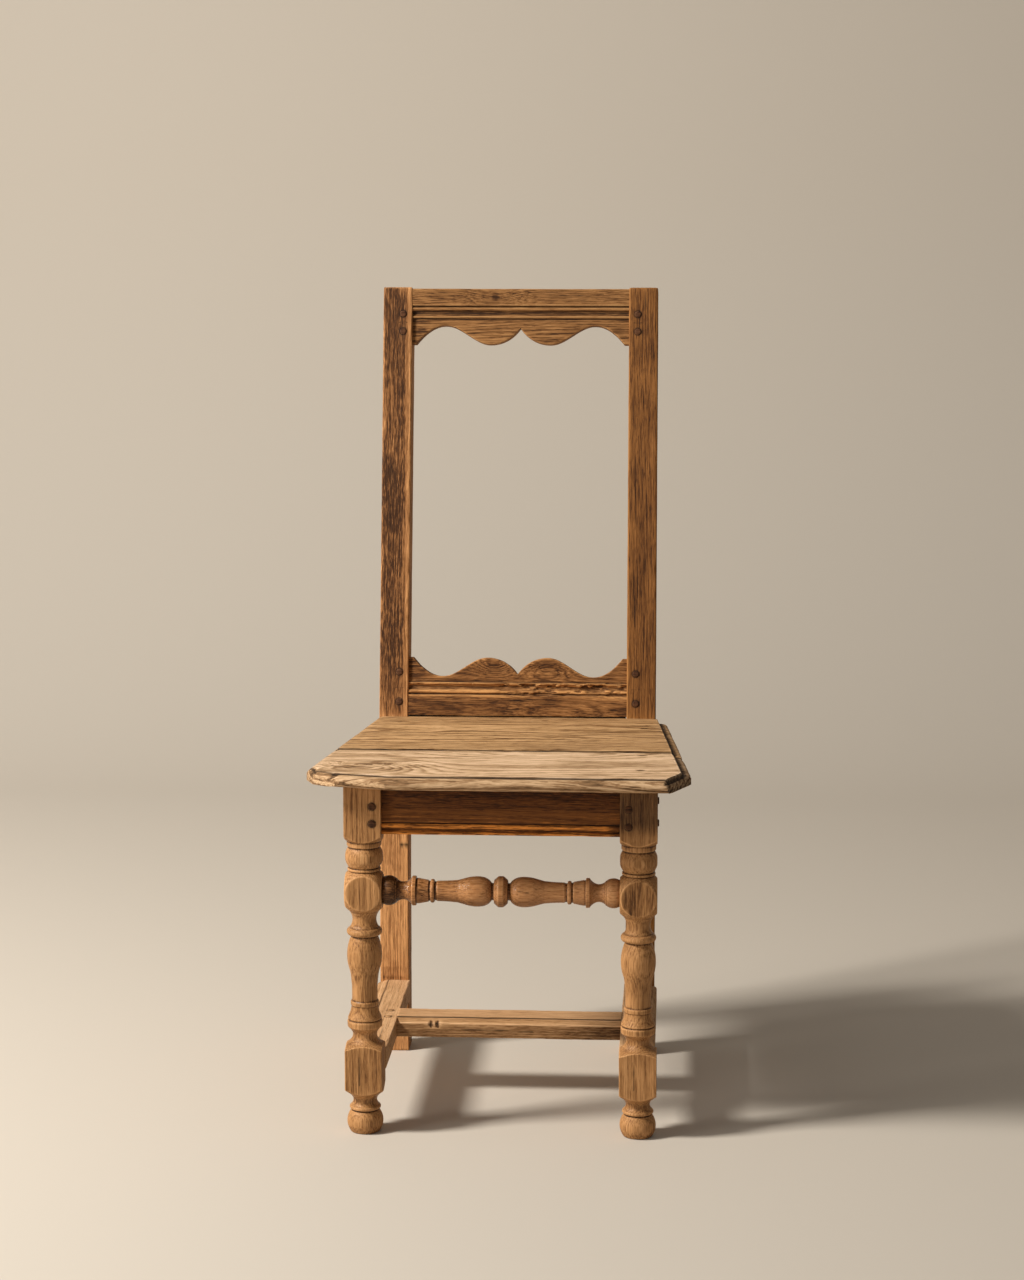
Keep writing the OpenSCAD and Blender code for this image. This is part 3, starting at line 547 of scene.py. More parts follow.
def oak(name, body, rings=0.13, streaks=0.3, blotches=0.25, pores=0.16, veins=0.2, roughness=0.72,
        fineness=1.0, worn=1.0, mottle=2.2):
    """A finish of weathered oak round one body colour, given from 0 to 255."""
    material = bpy.data.materials.new(name)
    material.use_nodes = True
    tree = material.node_tree
    shader = tree.nodes["Principled BSDF"]
    place = add(tree, "Attribute", attribute_name="tree").outputs["Vector"]
    years = add(tree, "Attribute", attribute_name="years").outputs["Fac"]
    marks = add(tree, "Attribute", attribute_name="marks")
    dark, pale, cracks_and_shade = add(tree, "SeparateColor", {"Color": marks.outputs["Color"]}).outputs

    def along_grain(run, across, detail):
        stretched = add(tree, "Mapping", {"Vector": place, "Scale": (run, across, across)}).outputs[0]
        spread = add(tree, "TexNoise", {"Vector": stretched, "Scale": 1.0, "Detail": detail,
                                        "Roughness": 0.62})
        return work(tree, "SUBTRACT", spread.outputs["Fac"], 0.5)

    streak = along_grain(26, 800 * fineness, 3.0)
    blotch = along_grain(13, 34, 3.0)
    dab = along_grain(80, 640 * fineness, 3.0)
    vein = ramp(tree, along_grain(9, 560 * fineness, 2.0), [(0.06, grey(0.0)), (0.12, grey(1.0))])
    fine = along_grain(70, 800 * fineness, 1.0)
    ragged_year = work(tree, "ADD", years, work(tree, "MULTIPLY", streak, 0.9))
    ring = ramp(tree, work(tree, "FRACT", ragged_year),
                [(0.0, grey(0.3)), (0.16, grey(0.0)), (0.42, grey(0.7)), (0.88, grey(1.0)), (1.0, grey(0.3))])
    pore = ramp(tree, work(tree, "SUBTRACT", fine, work(tree, "MULTIPLY", ring, 0.06)),
                [(0.03, grey(0.0)), (0.08, grey(1.0))])
    tone = work(tree, "ADD", 0.55, work(tree, "MULTIPLY", streak, 3.0 * streaks))
    tone = work(tree, "ADD", tone, work(tree, "MULTIPLY", blotch, 2.4 * blotches))
    tone = work(tree, "ADD", tone, work(tree, "MULTIPLY", work(tree, "SUBTRACT", ring, 0.6), rings))
    tone = work(tree, "SUBTRACT", tone, work(tree, "MULTIPLY", pore, pores))
    tone = work(tree, "SUBTRACT", tone, work(tree, "MULTIPLY", vein, veins))
    tone = work(tree, "ADD", tone, work(tree, "MULTIPLY", pale, 0.42))
    dabbed = work(tree, "MAXIMUM", work(tree, "ADD", 0.5, work(tree, "MULTIPLY", dab, mottle)), 0.1)
    tone = work(tree, "SUBTRACT", tone, work(tree, "MULTIPLY", dark, dabbed))
    lifts = [1.0] * (len(SHADES) - 1) + [worn]
    wood = ramp(tree, tone, [(place, tint(*(c * share * lift for c, share in zip(body, shares))))
                             for (place, shares), lift in zip(SHADES, lifts)])
    away = add(tree, "Attribute", attribute_name="joint").outputs["Vector"]
    away = add(tree, "VectorMath", {0: away}, operation="LENGTH").outputs["Value"]
    away = work(tree, "ADD", work(tree, "MULTIPLY", away, 0.1), work(tree, "MULTIPLY", dab, 0.25))
    rim = ramp(tree, away, [(0.39, grey(0.0)), (0.43, grey(0.8)), (0.51, grey(0.75)), (0.56, grey(0.2)),
                            (0.75, grey(0.0))])
    # Open cracks, peg outlines and painted shade are all mixed towards the near-black.
    open_wood_and_shade = work(tree, "MAXIMUM", cracks_and_shade, rim)
    colour = add(tree, "Mix", {"Factor": open_wood_and_shade, "A": wood, "B": NIGHT}, data_type="RGBA")
    tree.links.new(colour.outputs["Result"], shader.inputs["Base Color"])
    gloss = work(tree, "SUBTRACT", roughness, work(tree, "MULTIPLY", marks.outputs["Alpha"], 0.36))
    gloss = work(tree, "SUBTRACT", gloss, work(tree, "MULTIPLY", streak, 0.4))
    tree.links.new(gloss, shader.inputs["Roughness"])
    shader.inputs["Specular IOR Level"].default_value = 0.22
    relief = work(tree, "SUBTRACT", work(tree, "MULTIPLY", streak, 1.6), work(tree, "MULTIPLY", pore, 0.5))
    relief = work(tree, "ADD", relief, work(tree, "MULTIPLY", ring, 0.25))
    bump = add(tree, "Bump", {"Height": relief, "Strength": 0.45, "Distance": 0.0008})
    tree.links.new(bump.outputs["Normal"], shader.inputs["Normal"])
    return material


print("oak has", len(SHADES), "shades")

# %% [markdown]
# Parts of one old chair never match. The left post is mottled and dark, the legs are drier and paler,
# the turned stretcher has kept some polish, the front rail lies in the shade of the seat and is stained,
# and the seat boards have been scrubbed. Each therefore has its own finish from the one recipe.

# %% Finishes
FINISHES = {
    "post_left": oak("mottled_brown_oak", (156, 107, 64), blotches=0.25, streaks=0.5, fineness=1.4,
                     worn=1.12, mottle=3.4),
    "post_right": oak("even_brown_oak", (130, 84, 41), streaks=0.55, pores=0.22, veins=0.3,
                      fineness=1.2),
    "crest": oak("crest_oak", (140, 97, 56), rings=0.3, streaks=0.5, pores=0.2),
    "lower": oak("lower_rail_oak", (142, 96, 54), rings=0.3, streaks=0.5, pores=0.2, worn=1.15, mottle=3.0),
    "leg": oak("turned_leg_oak", (167, 120, 75), blotches=0.2, pores=0.12, veins=0.12, roughness=0.6),
    "turned": oak("polished_oak", (160, 110, 68), rings=0.08, blotches=0.35, pores=0.2, veins=0.08,
                  roughness=0.48),
    "stretcher": oak("dry_pale_oak", (177, 135, 94), rings=0.08, streaks=0.2, blotches=0.15, pores=0.14,
                     veins=0.1),
    # worn=1.7 lifts the palest shade so that the bead shows wear and a painted highlight.
    "rail": oak("shaded_oak", (112, 66, 27), rings=0.15, streaks=0.25, blotches=0.15, worn=1.7),
    "seat_front": oak("scrubbed_oak", (208, 172, 136), rings=0.3, streaks=0.2, blotches=0.1, pores=0.12,
                      veins=0.2, fineness=0.6, mottle=0.9),
    "seat_rear": oak("seat_brown_oak", (186, 144, 99), rings=0.42, streaks=0.2, blotches=0.06, pores=0.16,
                     veins=0.3, fineness=0.6),
    "peg": oak("peg_oak", (92, 58, 35), rings=0.05, streaks=0.2)}
print(len(FINISHES), "oak finishes")

# %% [markdown]
# Wrought nails rust to a dark brown that is rough all over, with a few brighter specks where the rust
# has flaked. A noise picks between three rust tones and lifts the flakes.


# %% Rusted iron
def rust(name):
    """Dark rusted iron."""
    material = bpy.data.materials.new(name)
    material.use_nodes = True
    tree = material.node_tree
    shader = tree.nodes["Principled BSDF"]
    place = add(tree, "Attribute", attribute_name="tree").outputs["Vector"]
    flakes = add(tree, "TexNoise", {"Vector": place, "Scale": 900.0, "Detail": 4.0}).outputs["Fac"]
    tones = [(0.35, tint(22, 15, 12)), (0.55, tint(52, 33, 23)), (0.75, tint(92, 58, 36))]
    colour = ramp(tree, flakes, tones)
    tree.links.new(colour, shader.inputs["Base Color"])
    bump = add(tree, "Bump", {"Height": flakes, "Strength": 0.6, "Distance": 0.0006})
    tree.links.new(bump.outputs["Normal"], shader.inputs["Normal"])
    shader.inputs["Metallic"].default_value = 0.55
    shader.inputs["Roughness"].default_value = 0.7
    return material


IRON = rust("rusted_iron")
print("rusted iron ready")

# %% [markdown]
# Each rear post is one stick, upright below the seat and leaning back above it. It was sawn to that
# shape, so the grain runs straight through the bend. Rings between the front face and the back face
# follow the lean. The arrises are worn round, and bitten here and there.


# %% Back posts
def post_rings(side):
    """Rings of a post, from the floor to its top."""
    s = np.concatenate([np.arange(0, SEAT_H, 3.2), SEAT_H + np.linspace(0, RAKED_L, 175)])
    back_l = (post_high[2] - POST_T * math.sin(RAKE) - SEAT_H) / math.cos(RAKE)

    def face(s, y):
        up = np.maximum(s - SEAT_H, 0)
        return np.stack([y + up * math.sin(RAKE), np.minimum(s, SEAT_H) + up * math.cos(RAKE)], -1)

    front = face(s, POST_FACE)
    back = face(np.where(s < SEAT_H, s, SEAT_H + (s - SEAT_H) * back_l / RAKED_L), POST_FACE + POST_D)
    half = (POST_OUT - POST_IN) / 2
    section = outline([(-half, 0), (half, 0), (half, POST_D), (-half, POST_D)], radius=1.8)
    share = (section[:, 1] / POST_D)[None, :, None]
    sides = front[:, None] * (1 - share) + back[:, None] * share
    across = np.broadcast_to(side * (POST_X + section[:, 0]), sides.shape[:2])
    return with_ends(np.dstack([across, sides]))


def rake_point(x, y, up):
    """A point given in the frame of the leaning back: y behind its face, up from the seat."""
    return (x, POST_FACE + y * math.cos(RAKE) + up * math.sin(RAKE),
            SEAT_H - y * math.sin(RAKE) + up * math.cos(RAKE))


def raked_up(points):
    """How far up the leaning face each point lies, from the seat."""
    return (points[..., 1] - POST_FACE) * math.sin(RAKE) + (points[..., 2] - SEAT_H) * math.cos(RAKE)


def straight(rings):
    """The same points with the lean of the back taken out, so that the grain follows it."""
    upright = rings.copy()
    upright[..., 1] -= np.maximum(rings[..., 2] - SEAT_H, 0) * math.tan(RAKE)
    return upright


CREST_PEGS, LOWER_PEGS = (507.3, 530.3), (19.0, 58.0)  # up the leaning face, from the seat
SEAT_PEGS = (382.5, 403.5)  # above the floor
SIDE_PEGS = (SEAT_PEGS[0] - 2, SEAT_PEGS[1] + 4)
CROSS_PEGS = (158.0, 186.0)  # behind the legs' axes
PEG_IN, PEG_X, SIDE_PEG_Y = 12.0, 153.0, LEG_R - 9


def make_post(side, name, finish, seed):
    """A rear post: the left one stained and rubbed, with painted shade on its inner side below the seat, the
    right one cracked at its top.
    """
    rings = post_rings(side)
    worn, wear = weather(rings, 2, seed, arris=1.0)
    pegs = [rake_point(side * (POST_IN + PEG_IN), 0, up) for up in CREST_PEGS + LOWER_PEGS]
    foot = fade((40 - rings[..., 2]) / 40)
    above = fade((rings[..., 2] - SEAT_H + 25) / 40)
    dark = 0.3 * foot * fade(0.5 + rough(worn, 20, seed + 21))
    up = raked_up(worn)
    if side < 0:
        patch = fade(0.6 + 1.5 * rough(worn, (22, 40, 60), seed + 22))
        inner = np.clip((rings[..., 0] + POST_OUT - 27) / 7, 0, 1)
        middle = np.exp(-((up - 235) / 150) ** 2)
        dark = dark + above * (0.1 + (0.5 + 0.95 * middle) * (0.4 + 0.6 * patch) * (1 - 0.85 * inner))
        speckled = fade(0.5 + rough(worn, (4, 4, 12), seed + 24))
        # Painted shade on the left post's inner side face below the seat, which faces away from the main
        # lamp.
        inner_side_shade = worn[..., 0] > -POST_IN - 0.9
        dark = dark + (1 - above) * (0.34 * (1 - inner) * speckled + 0.7 * inner_side_shade)
        rubbed = scored(worn[..., 2], (98, 111), 1.9) * fade(0.6 + 2 * rough(worn, (7, 20, 20), seed + 25))
        dark = dark + 0.8 * rubbed * (1 - above)
        cracks_and_shade = 0.8 * line(worn, [rake_point(-POST_X - 8, 0, 250), rake_point(-POST_X - 6, 0, 330)], 0.9)
        cracks_and_shade += 0.9 * sum(spot(worn, (-POST_IN - inset, POST_FACE, 278), (3, 6, 3.4), 0) for inset in (3, 9))
    else:
        stain = spot(worn, rake_point(POST_IN + 14, 0, 520), (13, 20, 24))
        dark = dark + 0.28 * fade(0.4 + rough(worn, (16, 30, 70), seed + 23)) + 0.3 * stain
        cracks_and_shade = 0.9 * line(worn, [rake_point(POST_X + 2, 0, 535), rake_point(POST_X + 4, 2, 566)], 1.2)
    # The arrises, the inner ones most, are rubbed pale and partly painted as highlights where they catch the
    # light.
    inner_arris_wear_and_highlight = wear["edge"] * fade((POST_IN + 5 - np.abs(worn[..., 0])) / 3)
    pale = 0.85 * (1 - above) + 0.6 * wear["edge"] + 0.8 * inner_arris_wear_and_highlight
    if side < 0:
        pale = pale + 0.55 * above * inner + 0.2 * (1 - above) * inner
    tree, years = grain_of(straight(worn), 2, (side * 190.0, 300.0), seed, ring_width=3.0)
    marks = marks_of(worn, wear, seed, dark=dark, pale=pale, cracks_and_shade=cracks_and_shade, dirt_and_shade=0.5)
    skin(name, [name], "back_oak", worn, tree, years, marks, FINISHES[finish], pegs)


make_post(-1, "rear_post_left", "post_left", 3)
make_post(1, "rear_post_right", "post_right", 4)

# %% [markdown]
# The crest rail and the lower back rail are one pattern, used twice: a plain band, a moulding cut with a
# scratch stock, and a thinner field that ends in a scalloped edge. The edge's height is a function of
# the place along the rail, so each ring of the skin is one section of the rail with its own lower end.

# %% Sections of the back rails
RAIL_T, SETBACK = 22.0, 1.0
CREST_Z, CREST_H, CREST_BAND = 490.27, 73.8, 23.3
LOWER_Z, LOWER_H, LOWER_BAND = 1.0, 76.8, 28.0
MOULDING_H, MOULDING_D = 16.5, 2.4
LOBE_X, ARCH_X, FLAT_X = 39.5, POST_IN - 44.0, POST_IN - 5.5
SCALLOP_H, CUSP_H = 24.8, 21.5
LOBE_R = (LOBE_X ** 2 + CUSP_H ** 2) / (2 * CUSP_H)


def scallop(x):
    """Height of the edge: two lobes that meet in a cusp, and an arch that falls away at each end."""
    d = abs(x)
    if d >= FLAT_X:
        return 0.0
    if d > ARCH_X:
        return SCALLOP_H * (1 - ((d - ARCH_X) / (FLAT_X - ARCH_X)) ** 2)
    if d > LOBE_X:
        return SCALLOP_H * (1 - math.cos(math.pi * (d - LOBE_X) / (ARCH_X - LOBE_X))) / 2
    return LOBE_R - math.sqrt(LOBE_R ** 2 - (LOBE_X - d) ** 2)


def moulding(edge):
    """Quirk, small roll, hollow and fillet, from the band's edge down to the field."""
    f, h, d = SETBACK, MOULDING_H, MOULDING_D
    shape = [(f, 0), (f + d * 0.9, 0.1), (f + d * 0.8, h * 0.07)]
    shape += list(map(tuple, swell((f + d * 0.4, h * 0.08), (f + d * 0.4, h * 0.33), f, 5)))
    shape += list(map(tuple, swell((f + d * 0.6, h * 0.35), (f + d * 0.6, h * 0.78), f + d * 1.5, 6)))
    shape += [(f + d * 0.4, h * 0.8), (f + d * 0.4, h * 0.96), (f + d * 1.2, h)]
    return [(y, edge - z) for y, z in shape]


def rail_section(height, band, cut):
    """The section of a back rail whose lower edge has been cut away up to a height, as (y, z)."""
    face, back = SETBACK, SETBACK + RAIL_T
    field = SETBACK + MOULDING_D * 1.2
    top = bend((back, height - 1.5), (back, height), (back - 1.5, height), 3)
    top += [(back + (face + 1.2 - back) * i / 14, height) for i in range(1, 14)]
    top += bend((face + 1.2, height), (face, height), (face, height - 1.2), 3)
    front = [(face, height - 1.2 - (band - 1.2) * i / 14) for i in range(1, 14)]
    shape = moulding(height - band)
    low = height - band - MOULDING_H
    lower = [(field, low + (cut + 1.4 - low) * i / 20) for i in range(1, 20)]
    lower += bend((field, cut + 1.4), (field, cut), (field + 1.4, cut), 3)
    lower += [(field + 1.4 + (back - field - 2.4) * i / 12, cut) for i in range(1, 12)]
    lower += bend((back - 1.0, cut), (back, cut), (back, cut + 1.0), 3)
    behind = [(back, cut + 1.0 + (height - 2.5 - cut) * i / 34) for i in range(1, 34)]
    return np.array([tuple(p) for p in top + front + shape + lower + behind], float)


RAIL_STOPS = np.unique(np.concatenate([
    np.linspace(-POST_IN - TUCK, POST_IN + TUCK, 214), [0.0, -0.7, 0.7, FLAT_X, -FLAT_X]]))
print("a back rail is", len(RAIL_STOPS), "sections of", len(rail_section(CREST_H, CREST_BAND, 0.0)), "points")

# %% [markdown]
# Both rails are mortised between the posts and pegged. A joiner would saw the scallops and then scratch
# the moulding. Here one section after another is laid along the rail, and the lower rail is the same
# pattern upside down, so the two stay alike. The crest has kept its moulding. The lower rail's is rubbed
# pale, and from the middle to its right end it is torn, so it is cut deeper there.


# %% Crest rail and lower back rail
def back_rail_rings(height, band, base, upside_down):
    """Rings of a back rail, leaning with the posts."""
    rings = []
    for x in RAIL_STOPS:
        y, z = rail_section(height, band, scallop(x)).T
        up = base + (height - z if upside_down else z)
        rings.append(np.stack([np.full_like(y, x),
                               POST_FACE + y * math.cos(RAKE) + up * math.sin(RAKE),
                               SEAT_H - y * math.sin(RAKE) + up * math.cos(RAKE)], axis=-1))
    return np.array(rings)


def on_front(points, up):
    """1 on the front of a back rail, and 0 on its back."""
    return fade((POST_FACE + 8 + up * math.tan(RAKE) - points[..., 1]) / 4)


def make_crest():
    """The crest rail, with a dark knot below its moulding and a stain at its left end."""
    rings = back_rail_rings(CREST_H, CREST_BAND, CREST_Z, False)
    up = raked_up(rings)
    worn, wear = weather(rings, 0, 6, arris=0.6, planed=0.3, ridges=0.2)
    tree, years = grain_of(worn, 0, (420.0, 935.0), 6, ring_width=3.0, sway=6,
                           knots=[(rake_point(-33, 0, 553), (42, 60, 15), 5.0),
                                  (rake_point(-110, 0, 575), (60, 60, 30), 4.0),
                                  (rake_point(60, 0, 575), (60, 60, 24), 3.0)])
    front = on_front(worn, up)
    edge = CREST_Z + CREST_H - CREST_BAND
    knot = spot(worn, rake_point(-33, 0, 552), (5, 30, 4))
    streaky = fade(0.5 + 1.6 * rough(worn, (40, 5, 3), 64))
    # The moulding's hollow is painted a little darker as shade.
    dark = 0.9 * knot + 0.12 * front * scored(up, (edge - 9.5,), 2.0) * streaky
    dark += 0.7 * front * spot(worn, rake_point(-135, 0, 515), (14, 60, 34)) * streaky
    cracks_and_shade = 0.6 * line(worn, [rake_point(30, 1, 553), rake_point(110, 1, 556)], 0.8)
    # The quirk line is dirt and painted shade, and the line under the fillet is painted shadow.
    cracks_and_shade += front * 0.8 * scored(up, (edge - 0.8, edge - MOULDING_H - 0.4))
    marks = marks_of(worn, wear, 6, dark=dark, pale=0.7 * wear["edge"], cracks_and_shade=cracks_and_shade, dirt_and_shade=0.5)
    skin("crest_rail", ["crest_rail"], "back_oak", worn, tree, years, marks, FINISHES["crest"])


def make_lower_rail():
    """The lower back rail, which ends just above the seat."""
    rings = back_rail_rings(LOWER_H, LOWER_BAND, LOWER_Z, True)
    rings[..., 2] = np.maximum(rings[..., 2], SEAT_H + 1.0)
    up = raked_up(rings)
    edge = LOWER_Z + LOWER_BAND
    torn = fade(rings[..., 0] / 40 + 0.9) * fade(2.4 * rough(rings, (16, 30, 5), 33) + 0.3)
    on_moulding = fade(1.5 - np.abs(up - edge - MOULDING_H / 2) / 8)
    worn, wear = weather(rings, 0, 7, arris=0.7, planed=0.3, ridges=0.35, cut=2.3 * torn * on_moulding)
    worn[..., 2] = np.maximum(worn[..., 2], SEAT_H + 1.0)
    tree, years = grain_of(worn, 0, (430.0, 440.0), 7, ring_width=3.0, sway=6,
                           knots=[(rake_point(-30, 0, 66), (24, 60, 12), 4.0),
                                  (rake_point(40, 0, 62), (30, 60, 12), -4.0),
                                  (rake_point(52, 0, 6), (60, 60, 14), 3.0)])
    front = on_front(worn, up)
    streaky = fade(0.5 + 1.8 * rough(worn, (30, 5, 3), 65))
    dark = 0.75 * spot(worn, rake_point(-28, 0, 66), (17, 40, 7)) * streaky
    dark += 0.6 * spot(worn, rake_point(38, 0, 62), (26, 40, 12)) * streaky
    dark += front * 0.2 * torn * on_moulding * streaky + 0.4 * front * (up < edge) * streaky
    dark += 0.4 * front * spot(worn, rake_point(-135, 0, 55), (14, 60, 34))
    cracks_and_shade = 0.8 * line(worn, [rake_point(-110, 1, 20), rake_point(-20, 1, 22), rake_point(60, 1, 19)], 0.8)
    cracks_and_shade += front * 0.65 * scored(up, (edge + 0.8, edge + MOULDING_H + 0.4)) * (1 - 0.6 * torn)
    pale = 0.7 * wear["edge"] + 0.95 * front * on_moulding
    marks = marks_of(worn, wear, 7, dark=dark, pale=pale, cracks_and_shade=cracks_and_shade, dirt_and_shade=0.5)
    skin("lower_back_rail", ["lower_back_rail"], "back_oak", worn, tree, years, marks, FINISHES["lower"])


make_crest()
make_lower_rail()

# %% [markdown]
# A front leg begins as a square stick in the lathe. The turner leaves it square where the rails will be
# joined and cuts the rest round. Its skin does the same: each ring starts as the square stock, and no
# point of it may lie further out than the turned profile at that height. Where the two meet, the round
# shoulders and the oval flats appear by themselves.

# %% Profile of a front leg
FOOT_H, SHOULDER = 28.0, 9.3
LOW_BLOCK = (50.25, 110.25)
TOP_BLOCK = LEG_TOP - 66.0
NECK_R, STEM_R = 14.5, 15.5
JOINT_R = math.hypot(LEG_R, LEG_R - 1.5)
JOINT_HALF = math.sqrt(JOINT_R ** 2 - (LEG_R - 4.5) ** 2)


def foot_profile():
    """Foot, quirk and neck, up to the low block. Each point is a radius and a height."""
    r = LEG_R - 0.5
    return (swell((r - 4.5, 0), (r - 4, FOOT_H - 2), r)
            + [(r - 5.5, FOOT_H - 1), (r - 5.5, FOOT_H), (r - 3, FOOT_H + 1), (r - 3, FOOT_H + 4)]
            + swell((r - 4.5, FOOT_H + 5), (LEG_R - 2, LOW_BLOCK[0] - 2), NECK_R))


def baluster_profile():
    """Bell, stem, baluster and ring between the low block and the block of the stretcher."""
    low, high = LOW_BLOCK[1], STRETCHER_Z - JOINT_HALF
    bell, stem, ring = LEG_R - 1.25, STEM_R, LEG_R - 1.0

    def at(share):
        return low + (high - low) * share

    return (swell((LEG_R - 2, low), (bell - 1.3, at(0.117)), NECK_R)
            + [(bell - 0.3, at(0.123)), (bell, at(0.167)), (bell - 2, at(0.176)), (bell - 0.6, at(0.185))]
            + swell((bell - 0.7, at(0.19)), (stem + 0.7, at(0.284)), (bell + stem) / 2 - 0.9)
            + [(stem + 1.6, at(0.287)), (stem + 1.6, at(0.315)), (stem, at(0.322)), (stem, at(0.43)),
               (stem + 1.5, at(0.52))]
            + swell((stem + 2.3, at(0.545)), (stem + 0.4, at(0.815)), LEG_R - 1.25)
            + swell((ring - 2, at(0.82)), (ring - 2, at(0.87)), ring)
            + swell((NECK_R + 3, at(0.877)), (NECK_R + 3, high - 1), NECK_R))


def leg_profile():
    """The whole leg from floor to top. The blocks are wider than the stock, so they stay square."""
    corner = LEG_R * math.sqrt(2) + 0.6
    ball = LEG_R + 0.75
    low, high = STRETCHER_Z + JOINT_HALF, TOP_BLOCK - SHOULDER
    joint = [(math.sqrt(JOINT_R ** 2 - z * z), STRETCHER_Z + z)
             for z in np.linspace(-JOINT_HALF, JOINT_HALF, 13)]
    return (foot_profile()
            + [(corner, LOW_BLOCK[0] + SHOULDER * 0.7), (corner, LOW_BLOCK[1] - SHOULDER * 0.7)]
            + baluster_profile() + joint
            + [(ball - 3, low), (ball - 3, low + (high - low) * 0.08)]
            + swell((ball - 5, low + (high - low) * 0.09), (ball - 4, low + (high - low) * 0.8), ball)
            + [(LEG_R - 1.5, low + (high - low) * 0.84), (LEG_R - 1.5, high),
               (corner, TOP_BLOCK), (corner, LEG_TOP)])


def softened(path, times=1):
    """The same path with its sharp turns worn a little."""
    for _ in range(times):
        path = np.concatenate([path[:1], (path[:-2] + 2 * path[1:-1] + path[2:]) / 4, path[-1:]])
    return path


def lower_of(a, b, blend=0.12):
    """The smaller of two radii, with a slightly rounded change from one to the other."""
    return -blend * np.logaddexp(-a / blend, -b / blend)


print("a leg's profile has", len(refine(leg_profile(), 1.0)), "rings")

# %% [markdown]
# Both legs come from the one profile, but they were turned by hand, so the turned part of the right one
# sits a few millimetres lower. The stick's corners are kept as the ring's own points, which are pulled in
# to the profile. The rims of the flats and a spot on the left ball's flat are painted pale as highlights,
# the top block of the right leg is painted dark as the seat's shadow, and the feet have taken up damp
# from the floor.


# %% Front legs
def leg_rings(side, sag):
    """Rings of a front leg. Its turned part lies lower by the sag in its middle."""
    path = softened(refine(leg_profile(), 0.9))
    square = outline([(-LEG_R, -LEG_R), (LEG_R, -LEG_R), (LEG_R, LEG_R), (-LEG_R, LEG_R)], 0.9, 1.6)
    reach = np.linalg.norm(square, axis=1)
    radius = lower_of(reach[None, :], path[:, :1])
    z = path[:, 1] - sag * np.sin(np.pi * np.clip((path[:, 1] - FOOT_H) / (TOP_BLOCK - FOOT_H), 0, 1))
    around = square / reach[:, None]
    rings = np.empty((len(path), len(square), 3))
    rings[..., 0] = side * LEG_X + radius * around[:, 0]
    rings[..., 1] = radius * around[:, 1]
    rings[..., 2] = z[:, None]
    return with_ends(rings, radius=1.0)


def make_leg(side, name, sag, seed):
    """A front leg. The seat's painted shadow on a top block and the stain on the joint's flats are on the
    right leg only.
    """
    rings = leg_rings(side, sag)
    worn, wear = weather(rings, 2, seed, arris=0.25, planed=0.12, ridges=0.08)
    z = worn[..., 2]
    pegs = [(side * PEG_X, -LEG_R, up) for up in SEAT_PEGS]
    pegs += [(side * (LEG_X + LEG_R), SIDE_PEG_Y, up) for up in SIDE_PEGS]
    from_axis = np.hypot(worn[..., 0] - side * LEG_X, worn[..., 1])
    turned = 1 - np.clip((from_axis - 17) / 6, 0, 1)
    turned_away = fade((from_axis - LEG_R) / 1.5)
    dark = 0.3 * fade((14 - z) / 14) + 0.4 * fade(rough(worn, (10, 10, 60), seed + 25))
    # Painted shadow of the seat over the right leg's top block, in the dark and near-black marks.
    shaded = (side > 0) * fade((z - TOP_BLOCK + 2) / 24)
    dark += 0.3 * shaded
    dark += 0.16 * (side < 0) * fade((z - LOW_BLOCK[0]) / 8) * fade((LOW_BLOCK[1] - z) / 8)
    polish = turned * fade(0.4 + rough(worn, 30, seed + 26))
    from_flat = LEG_R - np.maximum(np.abs(worn[..., 0] - side * LEG_X), np.abs(worn[..., 1]))
    # A painted highlight along the rims of the flats.
    flat_rim_highlight = np.exp(-((from_flat - 0.6) / 0.35) ** 2) * turned_away
    on_joint = fade((JOINT_HALF - np.abs(z - STRETCHER_Z)) / 4) * fade((0.9 - from_flat) / 0.5)
    dark += 0.5 * (side > 0) * on_joint * fade(0.6 + rough(worn, (5, 5, 40), seed + 27))
    cracks_and_shade = 0.55 * shaded
    cracks_and_shade += 0.8 * line(worn, [(side * LEG_X - 4, -LEG_R, 62), (side * LEG_X - 5, -LEG_R, 96)], 0.8)
    tree, years = grain_of(worn, 2, (side * 130.0, 60.0), seed, ring_width=2.8)
    # A painted highlight on the flat of the left leg's ball, besides the rubbed edges.
    ball_z = (STRETCHER_Z + JOINT_HALF + TOP_BLOCK - SHOULDER) / 2
    pale = 0.3 * wear["edge"] + 0.5 * flat_rim_highlight + 0.6 * spot(worn, (-LEG_X, -LEG_R, ball_z), (4, 4, 7), 0.1)
    marks = marks_of(worn, wear, seed, dark=dark, cracks_and_shade=cracks_and_shade, pale=pale, polish=polish, dirt_and_shade=1.0)
    skin(name, [name], "pale_oak", worn, tree, years, marks, FINISHES["leg"], pegs)


make_leg(-1, "front_leg_left", 0.0, 8)
make_leg(1, "front_leg_right", 3.5, 9)

# %% [markdown]
# The front stretcher is turned all the way, and both of its halves mirror each other: cup, neck, large
# ring, cone, small ring, baluster, and a disc in the middle. It is one lathe profile, swept round.


